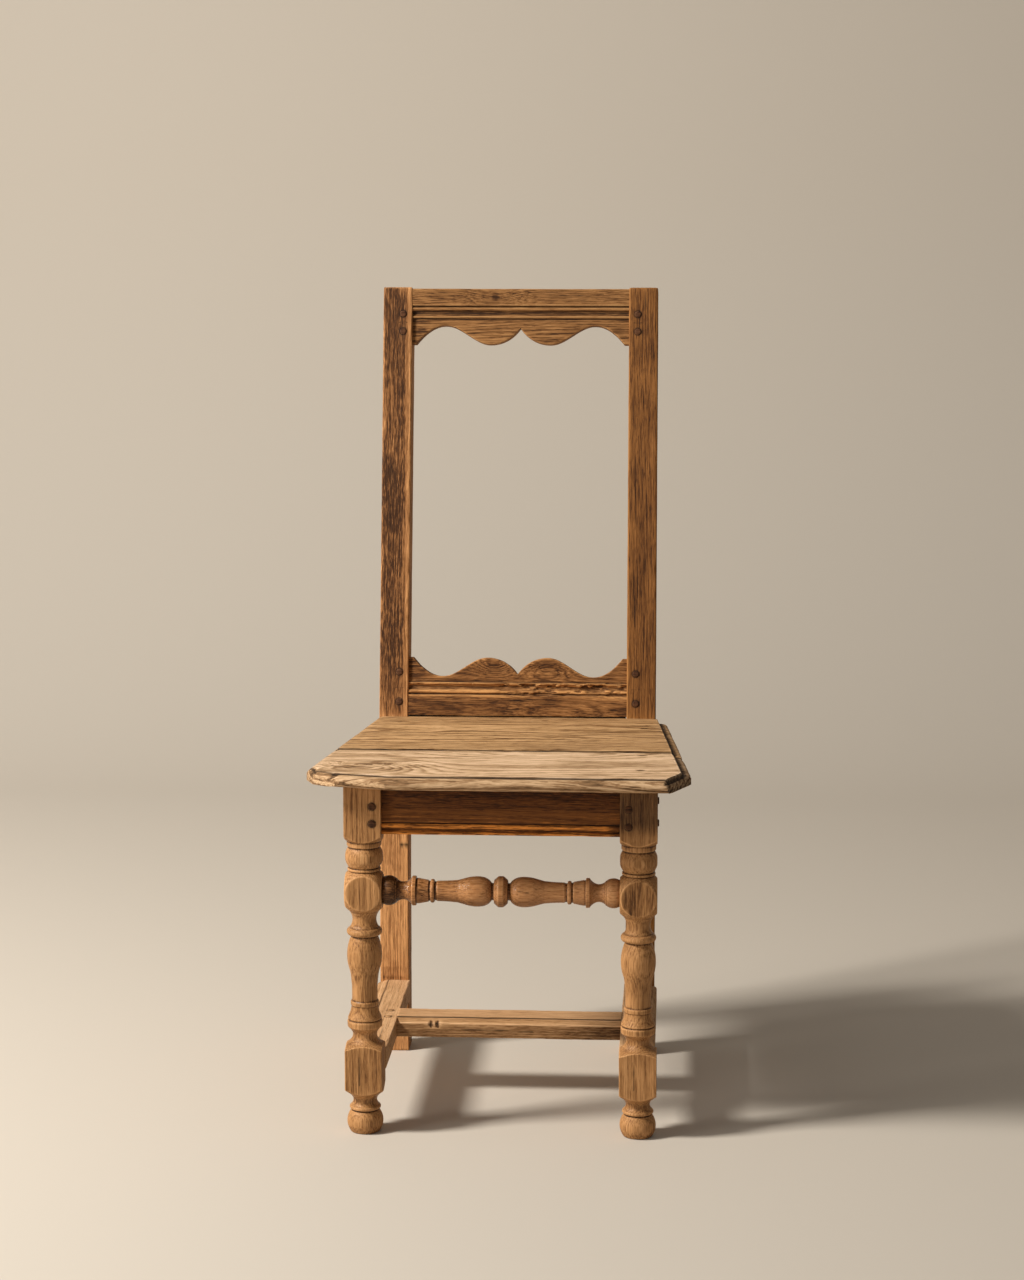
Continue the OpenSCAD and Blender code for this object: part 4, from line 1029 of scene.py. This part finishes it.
# %% Turned front stretcher
def stretcher_half():
    """Radius and distance from the leg, up to the middle of the disc."""
    r, n, length, start = 18.0, 10.75, LEG_INNER, 66.0
    end = length - 11.5

    def at(share):
        return start + (end - start) * share

    return ([(r - 2, 0)] + swell((r - 1.5, 1), (r - 2, 15), r) + [(r - 3, 15.5), (r - 3, 17)]
            + swell((r - 4.5, 17.5), (r - 2.5, 34.5), n)
            + [(r, 36), (r, 40.5), (r - 3, 41), (r - 2.5, 43)]
            + [(n + 2.4, 55.5), (n + 1.2, 56), (n + 1.2, 57.5)]
            + swell((n + 2.8, 58), (n + 2.8, 62.5), n + 3.6) + [(n + 0.6, 63), (n + 0.6, 65)]
            + bend((n + 1.5, start), (n + 1.5, at(0.18)), (n + 2.8, at(0.38)))
            + [(r - 0.8, at(0.58))]
            + bend((r - 0.4, at(0.62)), (r + 2.6, at(0.9)), (n + 0.7, end), 9)
            + [(n - 0.3, end + 0.5), (n - 0.3, length - 8.5), (14.25, length - 8.4), (18.75, length - 3),
               (18.75, length)])


def make_turned_stretcher():
    """The front stretcher, polished by heels, with pitted thin ends, a darker left end, and painted shade in
    its left cup and underneath.
    """
    half = [tuple(p) for p in stretcher_half()]
    path = [(r, d - LEG_INNER) for r, d in half] + [(r, LEG_INNER - d) for r, d in half[-2::-1]]
    path = [(path[0][0], path[0][1] - TUCK)] + path + [(path[-1][0], path[-1][1] + TUCK)]
    path = softened(refine(path, 0.8))
    turn = np.radians(np.linspace(0, 360, 72, endpoint=False))
    rings = np.empty((len(path), len(turn), 3))
    rings[..., 0] = path[:, 1:2]
    rings[..., 1] = path[:, :1] * np.cos(turn)
    rings[..., 2] = STRETCHER_Z + path[:, :1] * np.sin(turn)
    worn, wear = weather(rings, 0, 10, arris=0.2, planed=0.1, ridges=0.08)
    pits = fade(rough(worn, (9, 3, 3), 71) * 2.2 - 0.9)
    cracks_and_shade = 0.9 * line(worn, [(-98, -14, 301), (-84, -13, 299)], 0.9)
    cracks_and_shade += 0.8 * line(worn, [(8, -17, 303), (38, -18, 300)], 0.8, 1.2)
    front = fade(0.5 - worn[..., 1] / 12)
    # Painted shadow of the left leg over the left cup.
    left_cup_shadow = fade((-worn[..., 0] - LEG_INNER + 30) / 14)
    polish = 0.85 * fade(0.6 + rough(worn, 26, 72))
    # Painted shade on the underside.
    under = fade((STRETCHER_Z - 1 - worn[..., 2]) / 12)
    thin_end = fade((np.abs(worn[..., 0]) - 62) / 12) * fade((104 - np.abs(worn[..., 0])) / 8)
    dark = 0.08 + 0.3 * left_cup_shadow + 0.2 * under + (0.6 + 0.6 * thin_end) * pits * front
    dark += 0.25 * fade((-20 - worn[..., 0]) / 60)
    # The edges are rubbed pale and partly painted as highlights.
    pale = 0.9 * wear["edge"] + 0.3 * fade(worn[..., 0] / 40) * front
    cracks_and_shade += 0.45 * left_cup_shadow + 0.3 * under
    tree, years = grain_of(worn, 0, (90.0, STRETCHER_Z - 120.0), 10, ring_width=2.6)
    marks = marks_of(worn, wear, 10, dark=dark, cracks_and_shade=cracks_and_shade, pale=pale, polish=polish, dirt_and_shade=1.0)
    skin("turned_front_stretcher", ["turned_front_stretcher"], "pale_oak", worn, tree, years, marks,
         FINISHES["turned"])


make_turned_stretcher()

# %% [markdown]
# The seat rails and the low stretchers are bars: one section, run along the wood. A bar's ends lie in
# mortises, so they stop just inside the neighbouring piece and need no rounding. Only the section
# changes: a scratched bead under the front rail, and a wide worn chamfer where feet have rested on the
# stretchers.


# %% Bars
def bar_rings(axis, low, high, section, step=2.6):
    """Rings of a straight bar that runs along an axis. The section holds the two other places."""
    stops = np.linspace(low, high, max(4, math.ceil((high - low) / step)))
    rings = np.empty((len(stops), len(section), 3))
    rings[..., axis] = stops[:, None]
    first, second = [i for i in range(3) if i != axis]
    rings[..., first] = section[:, 0]
    rings[..., second] = section[:, 1]
    return rings


RAIL_Z = front_low[2]


def make_front_rail():
    """The front rail, with a bead scratched along its lower edge, the seat's painted shadow above the bead
    and a painted highlight on it.
    """
    f, back, z, h = front_low[1], front_high[1], RAIL_Z, 14.5
    bead = ([(f, z + h), (f + 2.2, z + h), (f + 2.2, z + h * 0.94)]
            + swell((f + 1.6, z + h * 0.93), (f + 1.8, z + h * 0.52), f, 6)
            + swell((f + 2.2, z + h * 0.5), (f + 1.4, z + h * 0.24), f + 3.2, 6)
            + [(f + 0.3, z + h * 0.22), (f + 0.3, z), (back, z), (back, LEG_TOP), (f, LEG_TOP)])
    section = refine(bead, 1.4, closed=True)
    rings = bar_rings(0, -LEG_INNER - TUCK, LEG_INNER + TUCK, section)
    worn, wear = weather(rings, 0, 12, arris=0.5, planed=0.3, ridges=0.25)
    # Painted shadow at the right end of the bead.
    bead_end_shadow = fade((worn[..., 0] - 126) / 14) * fade((z + h + 3 - worn[..., 2]) / 4)
    # The upper part of the rail is painted dark as the seat's shadow.
    dark = 0.1 + 0.5 * fade((worn[..., 2] - z - h - 6) / 34) + 0.8 * bead_end_shadow
    bead_wear_and_highlight = fade((z + h - worn[..., 2]) / 3) * fade((f + 6 - worn[..., 1]) / 2)
    tree, years = grain_of(worn, 0, (60.0, LEG_TOP - 20.0), 12, ring_width=3.2, sway=6)
    cracks_and_shade = scored(worn[..., 2], (z + h - 0.5,)) + 0.25 * scored(worn[..., 2], (z + h * 0.36,), 1.2)
    # The bead is painted pale as wear and highlight, and the lower rail lighter where the seat's painted
    # shadow ends.
    pale = 1.2 * bead_wear_and_highlight + 0.3 * fade((z + h + 24 - worn[..., 2]) / 18)
    marks = marks_of(worn, wear, 12, dark=dark, pale=pale, cracks_and_shade=cracks_and_shade, dirt_and_shade=0.4)
    skin("front_seat_rail", ["front_seat_rail"], "rail_oak", worn, tree, years, marks, FINISHES["rail"])


def make_plain_rail(name, axis, low, high, near, far, pith, seed):
    """A plain seat rail along an axis, between two places across it."""
    corners = [(near, RAIL_Z), (far, RAIL_Z), (far, LEG_TOP), (near, LEG_TOP)]
    rings = bar_rings(axis, low, high, outline(corners, 1.2, 2.8), 4.5)
    worn, wear = weather(rings, axis, seed, arris=0.7, planed=0.4, ridges=0.2)
    tree, years = grain_of(worn, axis, pith, seed)
    marks = marks_of(worn, wear, seed, dark=0.3 * fade(rough(worn, 30, seed + 31)), dirt_and_shade=0.6)
    skin(name, [name], "rail_oak", worn, tree, years, marks, FINISHES["rail"])


make_front_rail()
for side, name, seed in ((-1, "side_seat_rail_left", 13), (1, "side_seat_rail_right", 14)):
    make_plain_rail(name, 1, LEG_R - 1, POST_FACE + 1, side * side_rail_low[0], side * side_rail_high[0],
                    (side * 120.0, 380.0), seed)
make_plain_rail("rear_seat_rail", 0, -POST_IN - 1, POST_IN + 1, rear_rail_low[1], rear_rail_high[1],
                (300.0, 410.0), 15)

# %% [markdown]
# Low down, a stretcher joins each leg to its post, and a cross stretcher joins the two. Feet have rested
# on them for years, so their arrises are worn more than elsewhere and their tops are rubbed pale. The wide
# chamfer is part of the section. The line that the joiner scribed beside it is cut into the skin, and so
# are two nicks in the front edge of the cross stretcher.


# %% Side stretchers and cross stretcher
SIDE_X, SIDE_W = (side_low[0] + side_high[0]) / 2, side_high[0] - side_low[0]
SIDE_Z, SIDE_T = side_low[2], side_high[2] - side_low[2]
CHAMFER_W, CHAMFER_D = 13.0, 5.0
CROSS_Y, CROSS_W = (cross_low[1] + cross_high[1]) / 2, cross_high[1] - cross_low[1]
CROSS_Z, CROSS_T = cross_low[2], cross_high[2] - cross_low[2]


def make_side_stretcher(side, name, seed):
    """A side stretcher, chamfered along its outer arris."""
    w, top = SIDE_W / 2, SIDE_Z + SIDE_T
    corners = [(SIDE_X - w, SIDE_Z), (SIDE_X + w, SIDE_Z), (SIDE_X + w, top - CHAMFER_D),
               (SIDE_X + w - CHAMFER_W, top), (SIDE_X - w, top)]
    section = outline([(side * x, z) for x, z in corners], 1.6, 1.5)
    rings = bar_rings(1, LEG_R - TUCK, POST_FACE + TUCK, section)
    scribed = line(rings, [(side * (SIDE_X + 7), 20, top), (side * (SIDE_X + 7), 335, top)], 1.4, 0.4)
    worn, wear = weather(rings, 1, seed, arris=1.3, planed=0.6, ridges=0.3, cut=0.7 * scribed)
    pegs = [(side * PEG_X, y, top) for y in CROSS_PEGS]
    on_top = fade((worn[..., 2] - top + 4) / 3)
    dark = 0.3 * fade(rough(worn, (14, 50, 14), seed + 41))
    split = line(worn, [(side * (SIDE_X - 8), 60, top), (side * (SIDE_X - 10), 120, top)], 0.9)
    cracks_and_shade = 0.7 * scribed + 0.8 * split
    tree, years = grain_of(worn, 1, (side * 110.0, 20.0), seed)
    marks = marks_of(worn, wear, seed, dark=dark, pale=0.5 * on_top, cracks_and_shade=cracks_and_shade)
    skin(name, [name], "pale_oak", worn, tree, years, marks, FINISHES["stretcher"], pegs)


def make_cross_stretcher():
    """The cross stretcher, chamfered along its front arris, with painted shade on its front face."""
    w, top = CROSS_W / 2, CROSS_Z + CROSS_T
    inner = SIDE_X - SIDE_W / 2
    section = outline([(CROSS_Y - w, CROSS_Z), (CROSS_Y + w, CROSS_Z), (CROSS_Y + w, top),
                       (CROSS_Y - w + CHAMFER_W, top), (CROSS_Y - w, top - CHAMFER_D)], 1.4, 1.4)
    rings = bar_rings(0, -inner - TUCK, inner + TUCK, section, 2.2)
    ledge = CROSS_Y - w + CHAMFER_W
    scribed = line(rings, [(-inner, ledge, top), (inner, ledge, top)], 2.2, 0.9)
    nicks = sum(spot(rings, (x, CROSS_Y - w, top - 6.5), (2.6, 9, 4.4), 0.2) for x in (-98, -90))
    worn, wear = weather(rings, 0, 18, arris=1.6, planed=0.5, ridges=0.35, cut=0.9 * scribed + 2.2 * nicks)
    front = fade((CROSS_Y - w + 4 - worn[..., 1]) / 3)
    on_top = fade((worn[..., 1] - ledge + 1) / 3) * fade((worn[..., 2] - top + 4) / 3)
    below = fade((top - CHAMFER_D - 0.5 - worn[..., 2]) / 1.5)
    # The front face below the chamfer is painted darker as shade, and more so towards the right end as the
    # right leg's shadow.
    right_end_shadow = fade((worn[..., 0] - 50) / 80)
    dark = front * below * (0.25 + 0.3 * right_end_shadow) + 0.1 * fade(rough(worn, (60, 12, 12), 43))
    cracks_and_shade = 0.8 * line(worn, [(-60, CROSS_Y - w, 84), (30, CROSS_Y - w, 82)], 0.8)
    cracks_and_shade += 1.1 * scribed + 0.9 * nicks
    cracks_and_shade += front * below * (0.08 + 0.3 * right_end_shadow)
    tree, years = grain_of(worn, 0, (150.0, 60.0), 18, ring_width=3.0)
    chamfer = front * (1 - below) * fade((ledge - 1 - worn[..., 1]) / 2)
    pale = 0.45 * on_top + 0.4 * chamfer + 0.5 * wear["edge"] * front
    marks = marks_of(worn, wear, 18, dark=dark, pale=pale, cracks_and_shade=cracks_and_shade)
    skin("cross_stretcher", ["cross_stretcher"], "pale_oak", worn, tree, years, marks, FINISHES["stretcher"])


make_side_stretcher(-1, "side_stretcher_left", 16)
make_side_stretcher(1, "side_stretcher_right", 17)
make_cross_stretcher()

# %% [markdown]
# The seat is two boards nailed to the rails, with a moulding worked along the nose and both sides. A
# board's skin is a net of rows from side to side. The height of its top is the board's thickness less
# what the moulding, the wear and the broken places take away, so each of them is one short function of
# the place on the seat.

# %% The seat's plan
NOSE_Y = board_low[1]
SEAM_Y, SEAM_GAP = (board_high[1] + rear_board_low[1]) / 2, rear_board_low[1] - board_high[1]
SEAT_LEFT, SEAT_RIGHT = board_low[0], board_high[0]
SEAT_REAR = POST_FACE - 0.3
NOSE_LEFT, NOSE_RIGHT = (SEAT_LEFT + 102, NOSE_Y), (SEAT_RIGHT - 28, NOSE_Y)
CANT_LEFT, CANT_RIGHT = (SEAT_LEFT + 43, NOSE_Y + 15), (SEAT_RIGHT, NOSE_Y + 64)
WORN_LEFT, WIDE_LEFT = (SEAT_LEFT + 10, NOSE_Y + 40), (SEAT_LEFT, NOSE_Y + 64)
BACK_LEFT, BACK_RIGHT = (-POST_OUT - 5, SEAT_REAR), (POST_OUT + 15.5, SEAT_REAR)
EDGE_W, EDGE_DROP, NOSE_LIFT = 12.0, 9.0, 6.0
EDGES = [  # from, to, width of the moulding, depth of its step, whether it is rounded underneath
    (NOSE_LEFT, NOSE_RIGHT, EDGE_W, 1.8, True),
    (NOSE_RIGHT, CANT_RIGHT, EDGE_W * 0.45, 6.0, False),
    (CANT_RIGHT, BACK_RIGHT, EDGE_W, 6.0, False),
    (BACK_LEFT, WIDE_LEFT, EDGE_W * 0.6, 3.0, False),
    (WIDE_LEFT, WORN_LEFT, EDGE_W * 0.5, 1.8, False),
    (WORN_LEFT, CANT_LEFT, EDGE_W * 0.7, 1.8, False),
    (CANT_LEFT, NOSE_LEFT, EDGE_W, 1.8, True)]


def left_of(y):
    """The seat's left edge at a place from front to back."""
    path = [NOSE_LEFT, CANT_LEFT, WORN_LEFT, WIDE_LEFT, BACK_LEFT]
    return np.interp(y, [p[1] for p in path], [p[0] for p in path])


def right_of(y):
    """The seat's right edge at a place from front to back."""
    path = [NOSE_RIGHT, CANT_RIGHT, BACK_RIGHT]
    return np.interp(y, [p[1] for p in path], [p[0] for p in path])


def inside(x, y, a, b):
    """How far a point lies inside the edge from a to b."""
    along = np.array(b) - np.array(a)
    along = along / np.linalg.norm(along)
    return (y - a[1]) * along[0] - (x - a[0]) * along[1]


def step_line(points):
    """Soiling and painted shadow in the corner beside the step of the moulding."""
    x, y = points[..., 0], points[..., 1]
    near = []
    for a, b, width, _, _ in EDGES:
        strength = 0.8 if width == EDGE_W else 0.6
        near.append(strength * np.clip(1.5 - np.abs(inside(x, y, a, b) - width + 0.6) / 1.9, 0, 1))
    outside = np.min([inside(x, y, a, b) - width for a, b, width, _, _ in EDGES], axis=0) < -2.5
    return np.max(near, axis=0) * ~outside


def moulded(x, y):
    """What the moulding takes off the top, and off the underside, at each place."""
    top, under = np.zeros_like(x), np.zeros_like(x)
    for a, b, width, step, rounded in EDGES:
        t = inside(x, y, a, b)
        curve = np.array(bend((0, EDGE_DROP), (1.5, step), (width, step), 24))
        cut = np.interp(t, curve[:, 0], curve[:, 1]) * fade((width + 0.9 - t) / 1.8)
        top = np.maximum(top, cut)
        if rounded:
            lift = np.array(bend((0, NOSE_LIFT), (1, 0), (width, 0), 24))
            under = np.maximum(under, np.interp(t, lift[:, 0], lift[:, 1]))
    return top, under


print("seat", round(SEAT_RIGHT - SEAT_LEFT, 1), "x", round(SEAT_REAR - NOSE_Y, 1), "mm in plan")

# %% [markdown]
# The front board carries the nose, its chipped left corner and a knot's whorl. The rear board runs on
# between the posts, and that tongue is a short bar. Both boards are broken here and there along their
# seam, sunk round the nails, split along the grain, and dirty where dirt can settle, with painted shadow
# along the moulding's step and under the nose. Rows and points lie closer together at the edges, where
# the shape changes fastest.


# %% Seat boards
def board_rings(rows, edge_y, step=3.2):
    """Rings of a board: across its top from left to right, and back across its underside."""
    near = np.array([0, 0.35, 0.9, 1.7, 2.6, 3.6, 4.7, 5.8, 6.9, 8.0, 9.2, 10.4, 11.4, 12.3, 13.2, 14.6,
                     16.5])
    n = math.ceil((SEAT_RIGHT - SEAT_LEFT - 2 * near[-1]) / step)
    rings = []
    for y in rows:
        low, high = left_of(y), right_of(y)
        middle = np.linspace(low + near[-1], high - near[-1], n)[1:-1]
        x = np.concatenate([low + near, middle, high - near[::-1]])
        top_cut, under_cut = moulded(x, np.full_like(x, y))
        place = np.stack([x, np.full_like(x, y), np.full_like(x, SEAT_H)], -1)
        arris = np.clip(1 - np.abs(y - edge_y) / 2.2, 0, 1) ** 2 * (0.9 + 0.9 * rough(place, (16, 9, 9), 61))
        top = SEAT_H - top_cut - np.clip(arris, 0, 2.5)
        under = LEG_TOP + under_cut
        rings.append(np.concatenate([np.stack([x, place[:, 1], top], -1),
                                     np.stack([x, place[:, 1], np.minimum(under, top - 0.5)], -1)[::-1]]))
    return np.array(rings)


def dented(rings, places):
    """Small sunk places round the nails."""
    return sum(spot(rings, (x, y, SEAT_H), (w, h, 6), 0.3) for x, y, w, h in places)


def notched(rings, places):
    """Broken places along the seam: each has its place across the seat, and its size."""
    return sum(spot(rings, (x, SEAM_Y, SEAT_H), size) for x, *size in places)


NAIL_X, NAIL_Y = LEG_X + 2.5, (-14.5, 80.0, 260.0)
NAILS = [(NAIL_X, y, 5.0, 3.6) for y in NAIL_Y]


def make_front_board():
    """The front board, from the nose to the seam."""
    rows = np.concatenate([np.linspace(NOSE_Y, NOSE_Y + 16, 22), np.linspace(NOSE_Y + 17, SEAM_Y - 4, 112),
                           SEAM_Y - SEAM_GAP / 2 - np.array([2.6, 1.6, 0.9, 0.4, 0.0])])
    rings = board_rings(rows, SEAM_Y - SEAM_GAP / 2)
    on_top = fade((rings[..., 2] - LEG_TOP - 5) / 3)
    cupped = 1.5 * fade((rings[..., 1] - SEAM_Y + 34) / 34)
    chips = 2.0 * spot(rings, (-224, -32, SEAT_H), (8, 10, 9))
    chips += 1.4 * spot(rings, (-196, -54, SEAT_H), (7, 5, 8))
    notch = notched(rings, [(-205, 20, 3.5, 5), (60, 26, 2.2, 4), (-60, 40, 2.0, 4), (150, 12, 3.0, 4)])
    sunk = 1.3 * dented(rings, NAILS)
    worn, wear = weather(rings, 0, 20, arris=0.9, planed=0.5, ridges=0.1,
                         cut=on_top * (chips + 2.4 * notch + sunk + cupped))
    pitted = fade(rough(worn, (10, 4, 4), 81) * 2 - 0.5)
    # The underside of the nose is painted dark as shade, and pitted.
    below = fade((SEAT_H - 7 - worn[..., 2]) / 3)
    rolled = fade((SEAT_H - 0.8 - worn[..., 2]) / 1.6)
    dark = 0.8 * notch * on_top + 0.85 * dented(worn, NAILS) + 0.5 * below * pitted + 0.4 * rolled
    dark += 0.3 * np.clip(chips, 0, 1)
    dark += 0.7 * spot(worn, (-165, -8, SEAT_H), (76, 46, 9)) * fade(0.5 + rough(worn, (30, 9, 9), 83))
    seam = fade((worn[..., 1] - SEAM_Y + 3.0) / 1.2)
    pale = 0.25 * fade(rough(worn, (60, 18, 18), 84) + 0.2) - 0.6 * rolled
    cracks_and_shade = 0.8 * line(worn, [(-228, 20, SEAT_H), (-120, 26, SEAT_H), (-40, 24, SEAT_H)], 0.9, 1.5)
    cracks_and_shade += 0.7 * line(worn, [(70, -30, SEAT_H), (190, -27, SEAT_H)], 0.8, 1.5)
    cracks_and_shade += 0.9 * seam + step_line(worn) + dented(worn, NAILS) + 0.8 * notch
    cracks_and_shade += 0.04 * rolled + below * (0.12 + 0.15 * pitted)
    tree, years = grain_of(worn, 0, (30.0, LEG_TOP - 70.0), 20, ring_width=7.0, sway=12,
                           knots=[((-165, -10, SEAT_H), (60, 30, 60), 6.0),
                                  ((40, 60, SEAT_H), (120, 30, 60), 2.0)])
    marks = marks_of(worn, wear, 20, dark=dark, pale=pale, cracks_and_shade=cracks_and_shade * on_top, dirt_and_shade=0.8)
    skin("seat_board_front", ["seat_board_front"], "seat_oak", worn, tree, years, marks,
         FINISHES["seat_front"], strip_ends=True)


def make_rear_board():
    """The rear board, from the seam to the posts, and its tongue between them."""
    front = SEAM_Y + SEAM_GAP / 2
    rows = np.concatenate([front + np.array([0.0, 0.4, 0.9, 1.6, 2.6]),
                           np.linspace(SEAM_Y + 4, SEAT_REAR - 3, 142),
                           SEAT_REAR - np.array([2.0, 1.0, 0.4, 0.0])])
    rings = board_rings(rows, front)
    on_top = fade((rings[..., 2] - LEG_TOP - 5) / 3)
    notch = notched(rings, [(-120, 34, 2.4, 4), (20, 30, 2.0, 4)])
    sunk = 1.3 * dented(rings, NAILS)
    worn, wear = weather(rings, 0, 21, arris=0.9, planed=0.6, ridges=0.3, cut=on_top * (2.0 * notch + sunk))
    hole = dented(worn, [(38, 309, 4, 3), (-150, 290, 4, 4)])
    dark = 0.8 * notch * on_top + 0.85 * dented(worn, NAILS) + 0.9 * hole
    dark += 0.35 * fade((worn[..., 1] - 295) / 50) * fade(0.4 + rough(worn, (50, 14, 14), 85))
    dark += 0.12 * fade(rough(worn, (70, 9, 9), 86) * 1.5 - 0.2)
    cracks_and_shade = 0.8 * line(worn, [(-200, 210, SEAT_H), (-60, 214, SEAT_H)], 0.9, 1.6)
    cracks_and_shade += 0.8 * line(worn, [(60, 168, SEAT_H), (215, 166, SEAT_H)], 0.9, 1.6)
    seam = fade(front + 1.6 - worn[..., 1])
    cracks_and_shade += 0.8 * seam + step_line(worn) + dented(worn, NAILS) + 0.8 * notch
    tree, years = grain_of(worn, 0, (240.0, LEG_TOP - 46.0), 21, ring_width=9.0, sway=14, ripple=0.2)
    marks = marks_of(worn, wear, 21, dark=dark, cracks_and_shade=cracks_and_shade * on_top, dirt_and_shade=0.8)
    skin("seat_board_rear", ["seat_board_rear"], "seat_oak", worn, tree, years, marks,
         FINISHES["seat_rear"], strip_ends=True)
    tongue = outline([(SEAT_REAR - 4, LEG_TOP), (POST_FACE + 23, LEG_TOP), (POST_FACE + 23, SEAT_H - 0.4),
                      (SEAT_REAR - 4, SEAT_H - 0.4)], 1.0, 2.4)
    worn, wear = weather(bar_rings(0, -POST_IN + 1, POST_IN - 1, tongue, 4.0), 0, 22, planed=0.2)
    tree, years = grain_of(worn, 0, (240.0, LEG_TOP - 46.0), 21, ring_width=3.4, sway=9)
    marks = marks_of(worn, wear, 22, dark=0.5)
    skin("seat_board_tongue", ["seat_board_rear"], "seat_oak", worn, tree, years, marks,
         FINISHES["seat_rear"])


make_front_board()
make_rear_board()

# %% [markdown]
# Pegs were split from dry oak, whittled to a rough taper and driven through the joint. Over the years the
# wood round them shrank, so they stand a little proud, dark and not quite round. Each set is one piece:
# short staves whose sides are whittled flats, with a soft domed head.


# %% Pegs
def peg(head, inward, up, radius, length, seed):
    """Rings of one peg, from its domed head into the wood."""
    head, inward, up = (np.array(v, float) for v in (head, inward, up))
    side = np.cross(inward, up)
    turn = np.radians(np.linspace(0, 360, 20, endpoint=False))
    flats = 1 - 0.07 * np.abs(np.sin(turn * 2.5 + seed)) - 0.04 * np.abs(np.sin(turn * 4 + 2 * seed))
    steps = [(0.30, 0.0), (0.60, 0.02), (0.82, 0.10), (0.93, 0.28), (1.0, 0.62), (1.0, 1.4), (1.0, length)]
    rings = [head + inward * depth + radius * share * flats[:, None]
             * (np.cos(turn)[:, None] * side + np.sin(turn)[:, None] * up) for share, depth in steps]
    return np.array(rings)


def joined_skin(name, slot, made, material):
    """Several small closed skins in one piece."""
    parts = [skin(f"{name}_{n}", [name], slot, *each, material) for n, each in enumerate(made)]
    with bpy.context.temp_override(active_object=parts[0], selected_editable_objects=parts):
        bpy.ops.object.join()
    parts[0].name = name


def make_pegs(name, pegs, slot, material, radius, length):
    """One piece made of several pegs: (head, direction into the wood, any direction across it)."""
    made = []
    for number, (head, inward, up) in enumerate(pegs):
        rings = peg(head, inward, up, radius, length, number + len(name))
        wear = 0.5 + 0.5 * noise(rings, 3, number)
        clean = np.zeros_like(wear)
        marks = np.stack([0.5 * wear, 0.25 * (1 - wear), clean, clean], -1)
        made.append((rings, rings * MM, rings[..., 1] / 4.0, marks))
    joined_skin(name, slot, made, material)


PROUD, REAR_PEG_X, REAR_PEG_Y = 0.8, 151.0, 338.0
PEG_SIZE, CROSS_PEG_SIZE = (4.5, 7.0), (4.2, 6.0)  # radius, and length into the wood
lean_in = (0, math.cos(RAKE), -math.sin(RAKE))
lean_up = (0, math.sin(RAKE), math.cos(RAKE))
for name, ups in (("crest_rail_pegs", CREST_PEGS), ("lower_back_rail_pegs", LOWER_PEGS)):
    make_pegs(name, [(rake_point(side * (POST_IN + PEG_IN), -PROUD, up), lean_in, lean_up)
                     for side in (-1, 1) for up in ups], "peg_oak", FINISHES["peg"], *PEG_SIZE)
make_pegs("front_seat_rail_pegs", [((side * PEG_X, -LEG_R - PROUD, up), (0, 1, 0), (0, 0, 1))
                                   for side in (-1, 1) for up in SEAT_PEGS],
          "peg_oak", FINISHES["peg"], *PEG_SIZE)
side_pegs = [((side * (LEG_X + LEG_R + 2 * PROUD), SIDE_PEG_Y, up), (-side, 0, 0), (0, 0, 1))
             for side in (-1, 1) for up in SIDE_PEGS]
side_pegs += [((side * (POST_OUT + 2 * PROUD), REAR_PEG_Y, up), (-side, 0, 0), (0, 0, 1))
              for side in (-1, 1) for up in SEAT_PEGS]
make_pegs("side_seat_rail_pegs", side_pegs, "peg_oak", FINISHES["peg"], *PEG_SIZE)
make_pegs("rear_seat_rail_pegs", [((side * REAR_PEG_X, POST_FACE + POST_D + PROUD, up), (0, -1, 0), (0, 0, 1))
                                  for side in (-1, 1) for up in SEAT_PEGS],
          "peg_oak", FINISHES["peg"], *PEG_SIZE)
make_pegs("cross_stretcher_pegs", [((side * PEG_X, y, SIDE_Z + SIDE_T + PROUD / 2), (0, 0, -1), (0, 1, 0))
                                   for side in (-1, 1) for y in CROSS_PEGS],
          "peg_oak", FINISHES["stretcher"], *CROSS_PEG_SIZE)

# %% [markdown]
# The nails that hold the seat were punched just below its top. What shows of each is a small rough head
# at the bottom of a sunk, iron-stained place in the board.

# %% Nails
NAIL_SUNK = {-1: 3.0, 1: 1.4}  # how far below the top the heads lie, on the left and on the right
NAIL_R, NAIL_L = 2.4, 5.0
make_pegs("seat_nails", [((side * NAIL_X, y, SEAT_H - NAIL_SUNK[side]), (0, 0, -1), (0, 1, 0))
                         for y in NAIL_Y for side in (-1, 1)], "iron", IRON, NAIL_R, NAIL_L)
